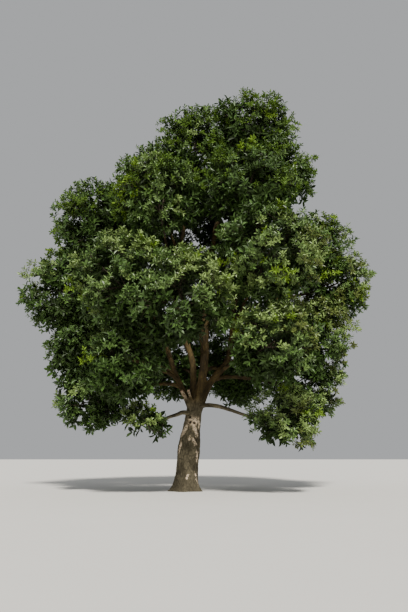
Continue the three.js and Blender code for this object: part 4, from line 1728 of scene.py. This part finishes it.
class OAK_OT_boughs(bpy.types.Operator):
    """Side boughs, flared where they leave their limbs"""

    bl_idname = "oak.boughs"
    bl_label = "Side Boughs"

    def execute(self, context):
        limbs = make_limbs(make_masses())
        boughs = [limb for name, limb in limbs.items() if name.startswith("bough_")]
        skins = [bough_skin(limb, i, context.scene.oak_bark_sizes) for i, limb in enumerate(boughs)]
        mesh = mesh_of("boughs", *joined([skin[:2] for skin in skins]))
        keep_attribute(mesh, "furrow", np.concatenate([skin[2] for skin in skins]))
        keep_attribute(mesh, "worn", np.zeros(len(mesh.vertices)))
        material = bark_material(context.scene.oak_colours)
        place_piece("bark_boughs", mesh, material, node_names("bough_"), smooth=True)
        return {"FINISHED"}


class OAK_OT_twigs(bpy.types.Operator):
    """Stems, twigs and branchlets inside the masses of foliage"""

    bl_idname = "oak.twigs"
    bl_label = "Twigs"

    def execute(self, context):
        sizes = context.scene.oak_twig_sizes
        crown = Crown()
        foliage = Foliage(crown, context.scene.oak_leaf_sizes.length)
        share = np.linspace(0, 1, STEM_RINGS)
        stems = np.stack([stem.at(share) for stem in crown.stems])
        twigs = np.stack([twig.at(share[::2]) for twig in crown.twigs])
        axes = np.stack(foliage.axes)
        is_fine = np.array([spray.is_fine for spray in crown.sprays])
        twiglets = np.concatenate(foliage.twiglets)
        parts = [
            self.tapered(stems, TIP_RADIUS, sizes.stem_end, STEM_SIDES),
            self.tapered(twigs, TWIG_RADIUS, TWIG_TIP_RADIUS, TWIG_SIDES),
            self.tapered(axes[~is_fine], sizes.branchlet, sizes.tip, BRANCHLET_SIDES),
            self.tapered(axes[is_fine][:, ::2], sizes.branchlet * FINE_BRANCHLET, sizes.tip, FINE_SIDES),
            spikes(twiglets, sizes.twiglet),
        ]
        mesh = mesh_of("twigs", *joined(parts))
        material = twig_material(context.scene.oak_colours)
        place_piece("twigs", mesh, material, node_names("foliage_"))
        return {"FINISHED"}

    @staticmethod
    def tapered(points, foot, tip, sides):
        radii = lerp(foot, tip, np.linspace(0, 1, points.shape[1]))
        return tubes(points, np.broadcast_to(radii, points.shape[:2]), sides)


class OAK_OT_leaves(bpy.types.Operator):
    """Rosettes of leaves at the ends of the twiglets, one piece for each colour"""

    bl_idname = "oak.leaves"
    bl_label = "Leaves"

    def execute(self, context):
        sizes = context.scene.oak_leaf_sizes
        colours = context.scene.oak_colours
        foliage = Foliage(Crown(), sizes.length)
        # Each colour group, painted light and shade among them, is a piece of its own.
        for index, tone in enumerate(TONES):
            rows = np.concatenate(foliage.rosettes[tone])
            rng = np.random.default_rng((SEED, index, len(rows)))
            count = sizes.shaded_count if tone in SHADED_SIZES else sizes.count
            vertices, faces, tint = leaf_rosettes(rows, sizes.length, sizes.width, count, rng)
            mesh = mesh_of("leaves", vertices, faces)
            keep_attribute(mesh, "tint", tint)
            material = leaf_material(tone, getattr(colours, "leaf_" + tone), colours)
            place_piece("leaves_" + tone, mesh, material, node_names("foliage_"))
        return {"FINISHED"}


class OAK_OT_stage(bpy.types.Operator):
    """Pale floor, soft studio light and the camera in front of the tree"""

    bl_idname = "oak.stage"
    bl_label = "Stage"

    def execute(self, context):
        stage = context.scene.oak_stage
        self.make_floor(stage)
        self.make_light(context, stage)
        camera = bpy.data.cameras.new("front_view")
        camera.lens = stage.lens
        camera.clip_end = VIEW_DISTANCE
        view = bpy.data.objects.new("front_view", camera)
        view.location = EYE
        view.rotation_euler = (math.pi / 2 + EYE_PITCH, 0, 0)
        context.collection.objects.link(view)
        context.scene.camera = view
        return {"FINISHED"}

    @staticmethod
    def make_floor(stage):
        half = stage.floor_size / 2
        corners = np.array([(-half, -half, 0), (half, -half, 0), (half, half, 0), (-half, half, 0)])
        mesh = mesh_of("floor", corners, np.array([(0, 1, 2), (0, 2, 3)]))
        shader = Shader("floor", 0.9)
        grain = shader.noise(scale=0.6, detail=3)
        shader.colour(shader.mix(grain, stage.floor_colour, scaled(stage.floor_colour, FLOOR_GRAIN)))
        mesh.materials.append(shader.material)
        floor = bpy.data.objects.new("floor", mesh)
        bpy.context.collection.objects.link(floor)

    @staticmethod
    def make_light(context, stage):
        world = bpy.data.worlds.new("surroundings")
        world.use_nodes = True
        background = world.node_tree.nodes["Background"]
        background.inputs["Color"].default_value = (*stage.sky_colour, 1)
        background.inputs["Strength"].default_value = stage.sky_strength
        context.scene.world = world
        key = bpy.data.lights.new("key", "SUN")
        key.energy = stage.key_strength
        key.angle = stage.key_angle
        key.color = KEY_COLOUR
        light = bpy.data.objects.new("key", key)
        light.rotation_euler = KEY_WAY.to_track_quat("Z", "Y").to_euler()
        context.collection.objects.link(light)


OPERATORS = [OAK_OT_trunk, OAK_OT_stub_ends, OAK_OT_boughs, OAK_OT_twigs, OAK_OT_leaves, OAK_OT_stage]


class OAK_PT_panel(bpy.types.Panel):
    """Sizes and colours of the oak, and the steps that make it"""

    bl_idname = "OAK_PT_panel"
    bl_label = "Hybrid Oak"
    bl_space_type = "VIEW_3D"
    bl_region_type = "UI"
    bl_category = "Oak"

    def draw(self, context):
        for operator in OPERATORS:
            self.layout.operator(operator.bl_idname)
        for name, group in GROUPS.items():
            box = self.layout.box()
            box.label(text=group.__doc__)
            for prop in group.__annotations__:
                box.prop(getattr(context.scene, name), prop)


def register():
    for group in GROUPS.values():
        bpy.utils.register_class(group)
    for operator in OPERATORS:
        bpy.utils.register_class(operator)
    bpy.utils.register_class(OAK_PT_panel)
    for name, group in GROUPS.items():
        setattr(bpy.types.Scene, name, PointerProperty(type=group))


def unregister():
    for name in GROUPS:
        delattr(bpy.types.Scene, name)
    bpy.utils.unregister_class(OAK_PT_panel)
    for operator in reversed(OPERATORS):
        bpy.utils.unregister_class(operator)
    for group in reversed(GROUPS.values()):
        bpy.utils.unregister_class(group)


def main():
    register()
    bpy.ops.oak.trunk()
    bpy.ops.oak.stub_ends()
    bpy.ops.oak.boughs()
    bpy.ops.oak.twigs()
    bpy.ops.oak.leaves()
    bpy.ops.oak.stage()


if __name__ == "__main__":
    main()
